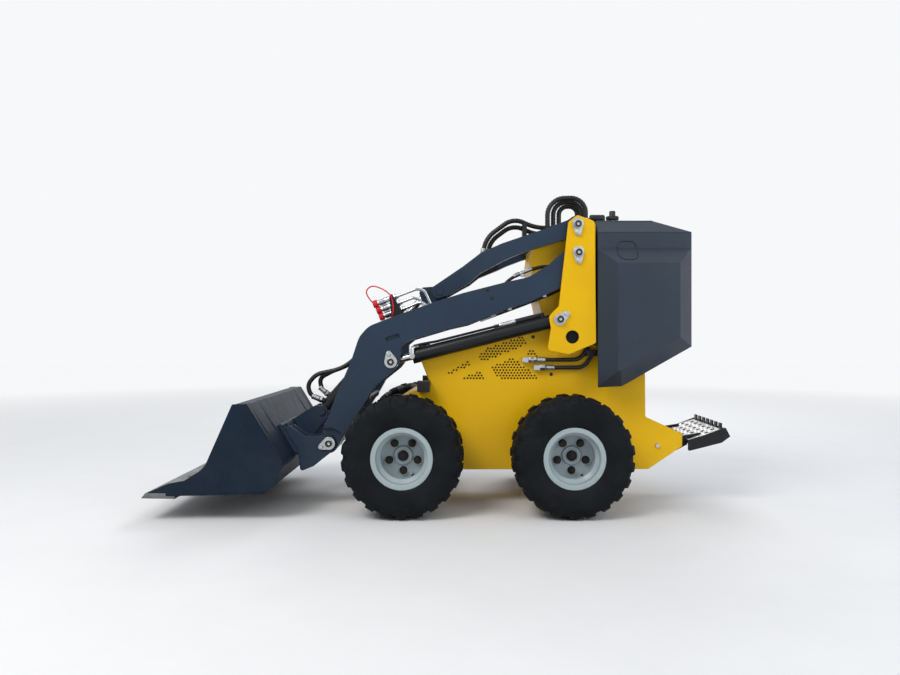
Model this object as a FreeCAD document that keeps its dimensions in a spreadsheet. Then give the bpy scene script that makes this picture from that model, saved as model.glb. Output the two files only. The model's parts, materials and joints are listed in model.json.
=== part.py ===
import FreeCAD, Part
import math
import os

import Sketcher
from FreeCAD import Placement, Rotation, Vector

# Stand-on wheeled mini loader. Millimetres, +Z up, the bucket points along -X, the left side is -Y.
# The origin is on the ground, under the middle of the machine's length and width.

SIZES = (  # name, value, what it is
    ("front_axle_x", "-172.8", "front axle from the origin"),
    ("wheelbase", "634.4", "between the axles"),
    ("wheel_radius", "228.5", "over the lug tips"),
    ("tyre_width", "215", ""),
    ("track_half", "356.5", "centre plane to the middle of a tyre"),
    ("rim_radius", "115", "over the rim flange"),
    ("bead_radius", "101", "where the tyre sits on the rim"),
    ("rim_width", "190", "over the rim flanges"),
    ("rim_sheet", "5", ""),
    ("wheel_bolt_circle", "56", "radius of the wheel bolt circle"),
    ("hub_radius", "42", "hub flange on the wheel disc"),
    ("axle_radius", "20", "wheel motor shaft"),
    ("motor_radius", "58", "wheel motor housing"),
    ("side_outer_y", "172", "outer face of the body side plate"),
    ("side_sheet", "8", ""),
    ("tower_outer_y", "258", "outer face of the tower plate"),
    ("tower_sheet", "10", ""),
    ("arm_outer_y", "243", "outer face of the boom arm"),
    ("arm_width", "58", ""),
    ("pivot_x", "504.7", "boom pivot"),
    ("pivot_z", "1005.6", ""),
    ("link_pin_rise", "110.8", "upper link pin above the boom pivot"),
    ("link_pin_back", "-2.7", "upper link pin behind the boom pivot"),
    ("lift_base_x", "433.1", "foot pin of the lift cylinder"),
    ("lift_base_z", "744.4", ""),
    ("lift_eye_x", "-232", "rod pin of the lift cylinder on the boom"),
    ("lift_eye_z", "576.7", ""),
    ("lever_x", "-40", "cross tube that carries the levelling lever"),
    ("lever_z", "752", ""),
    ("hitch_x", "-475.5", "hitch pin at the foot of the boom"),
    ("hitch_z", "256", ""),
    ("tilt_fore", "66", "tilt cylinder pins in front of the lever and hitch pins"),
    ("tilt_rise", "106", "tilt cylinder pins above the lever and hitch pins"),
    ("pin_radius", "16", ""),
    ("pin_gap", "0.05", "running clearance on every pin"),
    ("barrel_radius", "27.5", "lift cylinder"),
    ("rod_radius", "14", "lift cylinder rod"),
    ("lift_rod_shown", "85.9", "lift rod outside its barrel at rest, to the middle of its eye"),
    ("tilt_barrel_radius", "28", ""),
    ("tilt_rod_radius", "14", ""),
    ("tilt_rod_shown", "230", "tilt rod outside its barrel at rest, to the middle of its eye"),
    ("cross_tube_radius", "30", "boom cross tubes"),
    ("bucket_half", "455", "half the bucket's width"),
    ("bucket_sheet", "8", ""),
    ("hood_half", "258", "half the hood's width"),
    ("hood_sheet", "6", ""),
    ("pod_depth", "70", "how far a side pod stands out of the hood"),
    ("pod_taper", "42.4", "slope of a side pod's edges in degrees"),
    ("step_half", "192", "half the platform's width"),
    ("step_sheet", "5", ""),
    ("step_pin_x", "836.4", "platform hinge"),
    ("step_pin_z", "236.9", ""),
    ("tie_hole", "26", "radius of the tie-down hole in the tower"),
    ("lug_depth", "9", "tread lugs above the carcass"),
    ("lug_width", "30", "along the tread"),
    ("hose_radius", "9.5", ""),
    ("thin_hose_radius", "8", ""),
    ("vent_pitch", "12.6", "between the holes of the side vents"),
    ("vent_hole", "4.4", "radius of a vent hole"),
    ("keeper_sheet", "6", "plate that locks a pin"),
    ("stop_gap", "0.3", "seat clearance between neighbours"),
)

doc = FreeCAD.newDocument("StandOnLoader")
sheet = doc.addObject("Spreadsheet::Sheet", "Sizes")
for row, (alias, value, note) in enumerate(SIZES, 1):
    sheet.set("A%d" % row, alias)
    sheet.set("B%d" % row, value)
    sheet.setAlias("B%d" % row, alias)
    sheet.set("C%d" % row, note)
doc.recompute()
mm = {alias: float(sheet.get(alias)) for alias, value, note in SIZES}
nodes = []
SIDES = (("left", -1), ("right", 1))  # name, sign of Y


def keep(label, made):
    """Gives a sub-part its label and lists it for export."""
    made.Label = label
    nodes.append(made)
    return made


def sketch_on(body, role, name):
    sketch = body.newObject("Sketcher::SketchObject", name)
    plane = [f for f in body.Origin.OriginFeatures if f.Role == role][0]
    sketch.AttachmentSupport = (plane, [""])
    sketch.MapMode = "FlatFace"
    return sketch


def outline(rows):
    """Edges of a closed outline from rows of (across, up, corner radius)."""
    count = len(rows)
    corners = []
    for i, (across, up, radius) in enumerate(rows):
        here = Vector(across, up, 0)
        if radius == 0:
            corners.append((here, None, here))
            continue
        back = Vector(rows[i - 1][0], rows[i - 1][1], 0) - here
        ahead = Vector(rows[(i + 1) % count][0], rows[(i + 1) % count][1], 0) - here
        back.normalize()
        ahead.normalize()
        half = math.acos(max(-1.0, min(1.0, back.dot(ahead)))) / 2
        reach = radius / math.tan(half)
        inward = back + ahead
        inward.normalize()
        centre = here + inward * (radius / math.sin(half))
        corners.append((here + back * reach, centre - inward * radius, here + ahead * reach))
    edges = []
    for i, (start, middle, end) in enumerate(corners):
        if middle is not None:
            edges.append(Part.Arc(start, middle, end))
        following = corners[(i + 1) % count][0]
        if (following - end).Length > 1e-6:
            edges.append(Part.LineSegment(end, following))
    return edges


def draw(sketch, rows, holes=()):
    """Draws an outline, and round holes from rows of (across, up, radius expression)."""
    sketch.addGeometry(outline(rows), False)
    for across, up, radius in holes:
        ring = sketch.addGeometry(Part.Circle(Vector(across, up, 0), Vector(0, 0, 1), 5), False)
        bound = sketch.addConstraint(Sketcher.Constraint("Radius", ring, 5))
        sketch.setExpression("Constraints[%d]" % bound, radius)


def slab(name, rows, thickness, middle_y, holes=(), plane="XZ_Plane", taper=None):
    """A plate: an outline in side view, padded evenly to both sides of its middle plane."""
    body = doc.addObject("PartDesign::Body", name)
    sketch = sketch_on(body, plane, name + "_outline")
    draw(sketch, rows, holes)
    pad = body.newObject("PartDesign::Pad", name + "_pad")
    pad.Profile = sketch
    pad.setExpression("Length", thickness)
    if taper:
        pad.setExpression("TaperAngle", taper)
    else:
        pad.SideType = "Symmetric"
    body.setExpression(".Placement.Base.y", middle_y)
    return body


def pocket(body, plane, name, rows, length="4000"):
    """Cuts an outline through a body along its plane's normal, to both sides."""
    sketch = sketch_on(body, plane, name)
    draw(sketch, rows)
    cut = body.newObject("PartDesign::Pocket", name + "_cut")
    cut.Profile = sketch
    cut.setExpression("Length", length)
    cut.SideType = "Symmetric"
    return cut


def turned(name, rows):
    """A turned piece about the Y axis, from rows of (radius, along Y, corner radius)."""
    body = doc.addObject("PartDesign::Body", name)
    sketch = sketch_on(body, "XY_Plane", name + "_section")
    draw(sketch, rows)
    spin = body.newObject("PartDesign::Revolution", name + "_turn")
    spin.Profile = sketch
    spin.ReferenceAxis = (sketch, ["V_Axis"])
    spin.Angle = 360
    return body


def place(made, x=None, y=None, z=None):
    """Binds a piece's place to the sheet."""
    for axis, expression in (("x", x), ("y", y), ("z", z)):
        if expression is not None:
            made.setExpression(".Placement.Base." + axis, expression)
    return made


def box(x0, x1, y0, y1, z0, z1):
    made = doc.addObject("Part::Box", "box")
    made.Length, made.Width, made.Height = x1 - x0, y1 - y0, z1 - z0
    made.Placement.Base = Vector(x0, y0, z0)
    return made


def pin(x, z, y0, y1, radius):
    """A cylinder along Y. Its radius is an expression on the sheet or a number."""
    made = doc.addObject("Part::Cylinder", "pin")
    made.setExpression("Radius", str(radius))
    made.Height = y1 - y0
    made.Placement = Placement(Vector(x, y0, z), Rotation(Vector(1, 0, 0), -90))
    return made


def rod(start, end, radius):
    """A cylinder from one point to another."""
    made = doc.addObject("Part::Cylinder", "rod")
    made.setExpression("Radius", str(radius))
    along = end - start
    made.Height = along.Length
    made.Placement = Placement(start, Rotation(Vector(0, 0, 1), along))
    return made


def joined(pieces):
    made = doc.addObject("Part::MultiFuse", "joined")
    made.Shapes = pieces
    made.Refine = True
    return made


def less(base, tools):
    made = doc.addObject("Part::Cut", "less")
    made.Base = base
    made.Tool = tools[0] if len(tools) == 1 else joined(tools)
    made.Refine = True
    return made


def overlap(first, second):
    made = doc.addObject("Part::MultiCommon", "overlap")
    made.Shapes = [first, second]
    return made


def tube(points, radius):
    """A hose: straight runs joined by tangent arcs, each as large as its two runs allow."""
    edges, start = [], points[0]
    for before, here, after in zip(points, points[1:], points[2:]):
        back, ahead = before - here, after - here
        turn = math.pi - back.getAngle(ahead)
        reach = 0.45 * min(back.Length, ahead.Length)
        back.normalize()
        ahead.normalize()
        bend = reach / math.tan(turn / 2)
        inward = (back + ahead).normalize()
        middle = here + inward * (bend / math.cos(turn / 2) - bend)
        edges.append(Part.LineSegment(start, here + back * reach).toShape())
        edges.append(Part.Arc(here + back * reach, middle, here + ahead * reach).toShape())
        start = here + ahead * reach
        if bend < 4 * radius:
            print("tight bend", round(bend, 1), "of a hose of radius", radius)
    edges.append(Part.LineSegment(start, points[-1]).toShape())
    spine = Part.Wire(edges)
    ring = Part.Wire(Part.Circle(points[0], points[1] - points[0], radius).toShape())
    made = doc.addObject("Part::Feature", "hose")
    made.Shape = spine.makePipeShell([ring], True, True)
    wanted = math.pi * radius ** 2 * spine.Length
    if abs(made.Shape.Volume / wanted - 1) > 0.01:
        raise SystemExit("a hose has lost its section")
    return made


def keeper(centre, toward, low, high):
    """Tear-drop plate on a pin's end, with the bolt that holds its tail. toward is the tail's angle."""
    tail = Vector(math.cos(math.radians(toward)), math.sin(math.radians(toward)), 0)
    across = Vector(-tail.y, tail.x, 0)
    rows = []
    for along, aside, radius in ((44, -9, 7), (44, 9, 7), (-4, 24, 20), (-24, 14, 14), (-24, -14, 14),
                                 (-4, -24, 20)):
        corner = tail * along + across * aside
        rows.append((centre[0] + corner.x, centre[1] + corner.y, radius))
    plate = slab("keeper", rows, str(high - low), str((high + low) / 2))
    bolt_at = tail * 33
    far = 7 if low + high > 0 else -7
    near, away = sorted((low if low + high > 0 else high, (high if low + high > 0 else low) + far))
    bolt = pin(centre[0] + bolt_at.x, centre[1] + bolt_at.y, near, away, 6)
    return [plate, bolt]


def mirrored(source):
    made = doc.addObject("Part::Mirroring", "mirrored")
    made.Source = source
    made.Normal = (0, 1, 0)
    return made


def both_sides(source):
    """A piece on the left and its mirror image on the right, in one node."""
    made = doc.addObject("Part::Compound", "pair")
    made.Links = [source, mirrored(source)]
    return made


# Places worked out from the sheet, as (x, z)
rear_axle_x = mm["front_axle_x"] + mm["wheelbase"]
PIVOT = (mm["pivot_x"], mm["pivot_z"])
LINK_PIN = (PIVOT[0] + mm["link_pin_back"], PIVOT[1] + mm["link_pin_rise"])
LIFT_BASE = (mm["lift_base_x"], mm["lift_base_z"])
LIFT_EYE = (mm["lift_eye_x"], mm["lift_eye_z"])
LEVER = (mm["lever_x"], mm["lever_z"])
LINK_NOSE = (LEVER[0] + mm["link_pin_back"], LEVER[1] + mm["link_pin_rise"])
LEVER_TIP = (LEVER[0] - mm["tilt_fore"], LEVER[1] + mm["tilt_rise"])
HITCH = (mm["hitch_x"], mm["hitch_z"])
TILT_EYE = (HITCH[0] - mm["tilt_fore"], HITCH[1] + mm["tilt_rise"])
STEP_PIN = (mm["step_pin_x"], mm["step_pin_z"])
side_inner_y = mm["side_outer_y"] - mm["side_sheet"]
tower_inner_y = mm["tower_outer_y"] - mm["tower_sheet"]
arm_middle_y = mm["arm_outer_y"] - mm["arm_width"] / 2
pin_hole = "Sizes.pin_radius + Sizes.pin_gap"
pin_hole_r = mm["pin_radius"] + mm["pin_gap"]


def about(centre, rows):
    """Outline rows given from a pin, moved to where that pin is."""
    return [(centre[0] + across, centre[1] + up, radius) for across, up, radius in rows]


VENTS = (  # outlines of the perforated areas in the side plate
    ((-25.7, 519.6), (75.1, 579.3), (87.6, 563.2)),
    ((113, 594), (132.8, 577.7), (305, 646.4), (289, 676), (158.6, 630)),
    ((49.7, 503), (118.3, 534.1), (146.9, 503)),
    ((166.6, 552.3), (254.9, 588.2), (359.4, 503), (204.5, 503)),
    ((305.3, 607.9), (334.4, 618.8), (352.1, 595.4)),
)


def inside(x, z, corners):
    """Whether a point lies inside an outline."""
    within = False
    for (x0, z0), (x1, z1) in zip(corners, corners[1:] + corners[:1]):
        if (z0 > z) != (z1 > z) and x < x0 + (z - z0) * (x1 - x0) / (z1 - z0):
            within = not within
    return within


def vents(body):
    """Six-sided holes in staggered rows, cut through a side plate within the vent outlines."""
    sketch = sketch_on(body, "XZ_Plane", "vent_holes")
    pitch, radius = mm["vent_pitch"], mm["vent_hole"]
    lines = []
    for row in range(20):
        for step in range(40):
            x, z = -30 + pitch * (step + row % 2 / 2), 508 + row * pitch * math.sqrt(3) / 2
            near = [(x, z), (x - 3.5, z), (x + 3.5, z), (x, z - 3.5), (x, z + 3.5)]
            if not any(inside(a, b, corners) for corners in VENTS for a, b in near):
                continue
            points = [Vector(x + radius * math.sin(k * math.pi / 3), z + radius * math.cos(k * math.pi / 3), 0)
                      for k in range(6)]
            lines += [Part.LineSegment(a, b) for a, b in zip(points, points[1:] + points[:1])]
    sketch.addGeometry(lines, False)
    cut = body.newObject("PartDesign::Pocket", "vent_cut")
    cut.Profile = sketch
    cut.Length = 100
    cut.SideType = "Symmetric"


def side_plates():
    rear_corner = STEP_PIN[0] + 100
    rows = [
        (-240, 140, 12), (-240, 400, 30), (-165.5, 449, 0), (-74, 482, 8), (-128, 610, 12),
    ] + [(374, 770, 12), (PIVOT[0] - 179, 960, 10), (PIVOT[0] - 167, PIVOT[1] + 39, 12)] + about(
        LINK_PIN, [(-40, 8, 16), (-4, 38, 14), (64, 12, 14)]
    ) + [
        (573.5, 651, 0), (574, 640.5, 0), (785.5, 640.5, 0), (788, 353.5, 12), (rear_corner, 285, 6),
        (rear_corner, 234.5, 6), (rear_corner - 137, 142, 6),
    ]
    holes = [(PIVOT[0], PIVOT[1], pin_hole), (LINK_PIN[0], LINK_PIN[1], pin_hole)]
    holes += [(LIFT_BASE[0], LIFT_BASE[1], pin_hole), (STEP_PIN[0], STEP_PIN[1], "Sizes.pin_radius / 2")]
    for name, sign in SIDES:
        middle = "%d * (Sizes.side_outer_y - Sizes.side_sheet / 2)" % sign
        plate = slab("side_plate_" + name, rows, "Sizes.side_sheet", middle, holes)
        vents(plate)
        keep("side_plate_" + name, plate)


def chassis():
    """Floor, nose, deck and firewall between the side plates."""
    inner = side_inner_y - mm["stop_gap"] / 3
    width = "2 * (Sizes.side_outer_y - Sizes.side_sheet) - 0.2"
    floor = [(-232, 142, 0), (-232, 150, 0), (770, 150, 0), (770, 142, 0)]
    keep("belly_pan", slab("belly_pan", floor, width, "0"))
    nose = [(-240, 150.3, 0), (-240, 398, 20), (-165, 447, 0), (-78, 481, 8), (-128.7, 606, 0),
            (-121.3, 602, 0), (-69.5, 476.5, 0), (-162, 440, 0), (-233, 394, 14), (-233, 150.3, 0)]
    keep("nose_panel", slab("nose_panel", nose, width, "0"))
    deck = [(-120, 604, 0), (-120, 610, 0), (371.5, 766, 4), (PIVOT[0] - 178, 960, 4),
            (PIVOT[0] - 166, PIVOT[1] + 36, 0), (PIVOT[0] - 160, PIVOT[1] + 34, 0),
            (PIVOT[0] - 172, 959, 4), (377.5, 760, 4)]
    keep("front_cowl", slab("front_cowl", deck, width, "0"))
    wall = box(564, 572, -inner, inner, 150.3, LINK_PIN[1] - 10)
    keep("firewall", wall)
    engine = box(600, 770, -150, 150, 150.3, 620)
    keep("engine_block", joined([engine, box(620, 770, -120, 120, 600, 900)]))
    grille = [box(777, 785, -inner, inner, 285, 640)]
    slots = [box(770, 790, -130, 130, z, z + 14) for z in range(330, 620, 34)]
    keep("rear_grille", less(grille[0], slots))


def towers():
    """Outer tower plate with its rear and foot webs, which box in the rear end of each boom arm."""
    plate_rows = about(LINK_PIN, [(-36.5, 9.6, 16), (-1.5, 36.6, 14), (66.5, 11.6, 14)]) + [
        (573.5, 651, 10), (467.5, 607, 14), (383.5, 624, 14),
    ] + about(LIFT_BASE, [(-36, -35, 16), (-44, 12, 20), (-5, 51, 0)])
    holes = [(c[0], c[1], pin_hole) for c in (LINK_PIN, PIVOT, LIFT_BASE)]
    holes.append((481.2, 674.7, "Sizes.tie_hole"))
    for name, sign in SIDES:
        middle = "%d * (Sizes.tower_outer_y - Sizes.tower_sheet / 2)" % sign
        plate = slab("tower_plate_" + name, plate_rows, "Sizes.tower_sheet", middle, holes)
        low, high = sorted((sign * (mm["side_outer_y"] + 0.1), sign * (tower_inner_y + 0.5)))
        back = box(563, 573, low, high, 655, LINK_PIN[1] + 2)
        foot = doc.addObject("Part::Box", "foot")
        foot.Length, foot.Width, foot.Height = 90, high - low, 8
        foot.Placement = Placement(Vector(471, low, 609), Rotation(Vector(0, 1, 0), -22.5))
        keep("tower_" + name, joined([plate, back, foot]))
    bars = []
    for name, sign in SIDES:
        for centre in (PIVOT, LINK_PIN, LIFT_BASE):
            low, high = sorted((sign * (side_inner_y - 12), sign * (mm["tower_outer_y"] + 14)))
            bars.append(pin(centre[0], centre[1], low, high, "Sizes.pin_radius"))
            face = mm["tower_outer_y"] + mm["stop_gap"]
            low, high = sorted((sign * face, sign * (face + mm["keeper_sheet"])))
            bars += keeper(centre, 40 if centre == LIFT_BASE else -88, low, high)
    keep("tower_pins", joined(bars))


def hood():
    """Hood shell over the engine with chamfered shoulders and an open rear console."""
    top, rear = 1138, 947.5
    side = [(580.5, 641, 0), (580.5, top, 8), (808.5, top, 0), (rear, 1086, 0), (rear, 641, 0)]
    section = [(-258, 600, 0), (-258, 1086, 0), (-200, top, 0), (200, top, 0), (258, 1086, 0), (258, 600, 0)]
    outer = overlap(
        slab("hood_side", side, "2 * Sizes.hood_half", "0"),
        slab("hood_section", section, "4000", "0", plane="YZ_Plane"),
    )
    wall = mm["hood_sheet"]
    side_in = [(580.5 + wall, 600, 0), (580.5 + wall, top - wall, 0), (805, top - wall, 0),
               (rear - wall, 1080, 0), (rear - wall, 600, 0)]
    section_in = [(-258 + wall, 590, 0), (-258 + wall, 1083, 0), (-197, top - wall, 0),
                  (197, top - wall, 0), (258 - wall, 1083, 0), (258 - wall, 590, 0)]
    inner = overlap(
        slab("hood_side_in", side_in, "2 * (Sizes.hood_half - Sizes.hood_sheet)", "0"),
        slab("hood_section_in", section_in, "4000", "0", plane="YZ_Plane"),
    )
    notch = [(790, 1200, 0), (790, 1060, 0), (rear + 20, 985, 0), (rear + 20, 1200, 0)]
    cut = slab("console_notch", notch, "340", "0")
    keep("hood", less(outer, [inner, cut]))
    tray = [(786, top - wall - 0.3, 0), (780, top - wall - 0.3, 0), (780, 1054, 0), (rear - wall - 0.5, 982, 0),
            (rear - wall - 0.5, 990, 0), (786, 1060, 0)]
    panel = slab("console_panel", tray, "350", "0")
    cheeks = [slab("console_cheek", [(786, 1126, 0), (786, 1058, 0), (939, 990, 0), (939, 1078, 0),
                                     (808, 1126, 0)], "6", "%d" % (sign * 173)) for name, sign in SIDES]
    dials = []
    for y in (-60, 0, 60):
        dial = doc.addObject("Part::Cylinder", "dial")
        dial.Radius, dial.Height = 24, 16
        dial.Placement = Placement(Vector(820, y, 1038), Rotation(Vector(0, 1, 0), 24))
        dials.append(dial)
    keep("console", joined([panel] + cheeks + dials))
    levers = []
    for y, lean in ((-115, 18), (-85, 18), (85, 18), (115, 18)):
        stick = doc.addObject("Part::Cylinder", "stick")
        stick.Radius, stick.Height = 6, 72
        turn = Rotation(Vector(0, 1, 0), lean)
        stick.Placement = Placement(Vector(880, y, 1018.6), turn)
        knob = doc.addObject("Part::Sphere", "knob")
        knob.Radius = 14
        knob.Placement = Placement(Vector(880, y, 1018.6) + turn.multVec(Vector(0, 0, 76)), turn)
        levers += [stick, knob]
    keep("control_levers", joined(levers))
    base = [(580.5, 477, 0), (674.5, 482, 0), (rear, 637, 0), (rear, 1023, 0), (580.5, 1023, 0)]
    pod = slab("pod_left", base, "Sizes.pod_depth", "-Sizes.hood_half - 0.3", taper="-Sizes.pod_taper")
    keep("hood_pod_left", pod)
    keep("hood_pod_right", mirrored(pod))
    bracket = slab("pod_skirt", [(583, 485, 0), (672, 487, 0), (940, 640.6, 0), (583, 640.6, 0)],
                   "6", "-Sizes.hood_half + 3.3")
    keep("hood_skirts", both_sides(bracket))
    pad = box(rear + 0.3, rear + 32, -165, 165, 800, 975)
    keep("thigh_pad", pad)
    stack = ((17, 0, 20), (24, 18, 33), (12, 32, 55))  # radius, from and to above the hood
    keep("filler_cap", joined([rod(Vector(669, -100, top + 0.3 + low), Vector(669, -100, top + 0.3 + high), radius)
                               for radius, low, high in stack]))


def lugs(tyre):
    """Tread lugs: a slanted bar at each shoulder, repeated round the tyre, the two rows half a pitch apart."""
    count, half = 22, mm["tyre_width"] / 2
    section = tyre.Group[0]
    bottom = mm["wheel_radius"] - mm["lug_depth"] - 14
    wide = mm["lug_width"] / 2
    pads = []
    for sign in (-1, 1):
        sketch = sketch_on(tyre, "XY_Plane", "lug_outline")
        turn = Rotation(Vector(0, 1, 0), 180 / count if sign > 0 else 0)
        sketch.AttachmentOffset = Placement(turn.multVec(Vector(0, 0, bottom)), turn)
        draw(sketch, [(-wide, sign * (half - 5), 0), (wide, sign * (half - 5), 0),
                      (wide + 9, sign * 10, 0), (wide - 12, sign * 10, 0)])
        pad = tyre.newObject("PartDesign::Pad", "lug")
        pad.Profile = sketch
        pad.Length = mm["wheel_radius"] + 3 - bottom
        pads.append(pad)
        ring = tyre.newObject("PartDesign::PolarPattern", "lug_ring")
        ring.Originals = [pad]
        ring.Axis = (section, ["V_Axis"])
        ring.Angle = 360
        ring.Occurrences = count
        tyre.Tip = ring
    around = sketch_on(tyre, "XY_Plane", "tread_outline")
    top = mm["wheel_radius"]
    draw(around, [(top, -half, 0), (top + 20, -half, 0), (top + 20, half, 0), (top, half, 0)])
    trim = tyre.newObject("PartDesign::Groove", "tread_trim")
    trim.Profile = around
    trim.ReferenceAxis = (around, ["V_Axis"])
    trim.Angle = 360
    tyre.Tip = trim


def wheels():
    """Tyre, rim with disc, hub and nuts, and the wheel motor that carries them."""
    half, rim_half = mm["tyre_width"] / 2, mm["rim_width"] / 2
    bead, rim = mm["bead_radius"], mm["rim_radius"]
    crown = mm["wheel_radius"] - mm["lug_depth"]
    tyre_rows = [
        (bead, -rim_half + 5.8, 0), (rim + 1, -rim_half + 5.8, 0), (rim + 7, -rim_half - 1, 0),
        (crown * 0.76, -half, 0), (crown * 0.86, -half + 1, 0),
        (crown - 10, -half + 12, 0), (crown, -half + 36, 0), (crown, half - 36, 0),
        (crown - 10, half - 12, 0), (crown * 0.86, half - 1, 0), (crown * 0.76, half, 0), (rim + 7, rim_half + 1, 0),
        (rim + 1, rim_half - 5.8, 0), (bead, rim_half - 5.8, 0), (bead, rim_half - 26, 0), (crown * 0.74, half - 16, 0),
        (crown - 28, half - 30, 0), (crown - 28, -half + 30, 0), (crown * 0.74, -half + 16, 0),
        (bead, -rim_half + 26, 0),
    ]
    wall = mm["rim_sheet"]
    seat = bead - 0.3
    well = seat - 14
    disc = 4  # outboard of the tyre's middle plane, on the left wheel this is -Y
    rim_rows = [
        (rim, -rim_half, 2), (rim, -rim_half + 5.5, 0), (seat, -rim_half + 5.5, 0), (seat, -rim_half + 34, 0),
        (well, -rim_half + 46, 0), (well, rim_half - 46, 0), (seat, rim_half - 34, 0),
        (seat, rim_half - 5.5, 0), (rim, rim_half - 5.5, 0), (rim, rim_half, 2),
        (seat - wall, rim_half, 3), (seat - wall, rim_half - 32, 0), (well - wall, rim_half - 44, 0),
        (well - wall, 12, 0), (70, 2, 6), (22, 2, 0), (22, -disc, 0), (70, -disc, 6),
        (well - wall, -6, 0), (well - wall, -rim_half + 44, 0), (seat - wall, -rim_half + 32, 0),
        (seat - wall, -rim_half, 3),
    ]
    bore = mm["axle_radius"] + mm["pin_gap"]
    hub_rows = [(bore, -disc - 10, 0), (34, -disc - 10, 3), (38, -disc + 1, 0), (mm["hub_radius"], 1.5, 0),
                (mm["hub_radius"], 26, 3), (bore, 26, 0)]
    tyre = turned("tyre_solid", tyre_rows)
    lugs(tyre)
    rim_turned = turned("rim_solid", rim_rows)
    hub = turned("hub_solid", hub_rows)
    nuts = []
    for step in range(5):
        angle = math.radians(72 * step - 90)
        x = mm["wheel_bolt_circle"] * math.cos(angle)
        z = mm["wheel_bolt_circle"] * math.sin(angle)
        nuts.append(pin(x, z, -disc - 16, 4, 10))
    valve = Vector(math.cos(math.radians(-63)), 0, math.sin(math.radians(-63))) * (well - wall - 7)
    nuts.append(rod(valve - Vector(0, 26, 0), valve, 4))
    flange = turned("flange_solid", [(bore, 1.5, 0), (70, 1.5, 0), (70, 12, 0), (bore, 12, 0)])
    wheel_left = joined([rim_turned, hub, flange] + nuts)
    for axle, along in (("front", "Sizes.front_axle_x"), ("rear", "Sizes.front_axle_x + Sizes.wheelbase")):
        for name, sign in SIDES:
            for kind, source in (("tyre", tyre), ("rim", wheel_left)):
                made = doc.addObject("Part::Mirroring" if sign > 0 else "Part::Compound", kind)
                if sign > 0:
                    made.Source = source
                    made.Normal = (0, 1, 0)
                else:
                    made.Links = [source]
                place(made, along, "%d * Sizes.track_half" % sign, "Sizes.wheel_radius")
                keep("%s_%s_%s" % (kind, axle, name), made)
    motors = []
    for x in (mm["front_axle_x"], rear_axle_x):
        for name, sign in SIDES:
            z = mm["wheel_radius"]
            face = mm["track_half"] - 28
            for radius, near, far in (
                (82, mm["side_outer_y"] + 0.1, mm["side_outer_y"] + 12),
                (mm["motor_radius"], mm["side_outer_y"] + 10, face),
                (mm["axle_radius"], face - 2, mm["track_half"] + 16),
                (9, mm["track_half"] + 14, mm["track_half"] + 34),
            ):
                low, high = sorted((sign * near, sign * far))
                motors.append(pin(x, z, low, high, radius))
            nut = [(x + 18 * math.cos(k * math.pi / 3), z + 18 * math.sin(k * math.pi / 3), 0) for k in range(6)]
            motors.append(slab("axle_nut", nut, "14", "%d * (Sizes.track_half + 23)" % sign))
    keep("wheel_motors", joined(motors))


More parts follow.
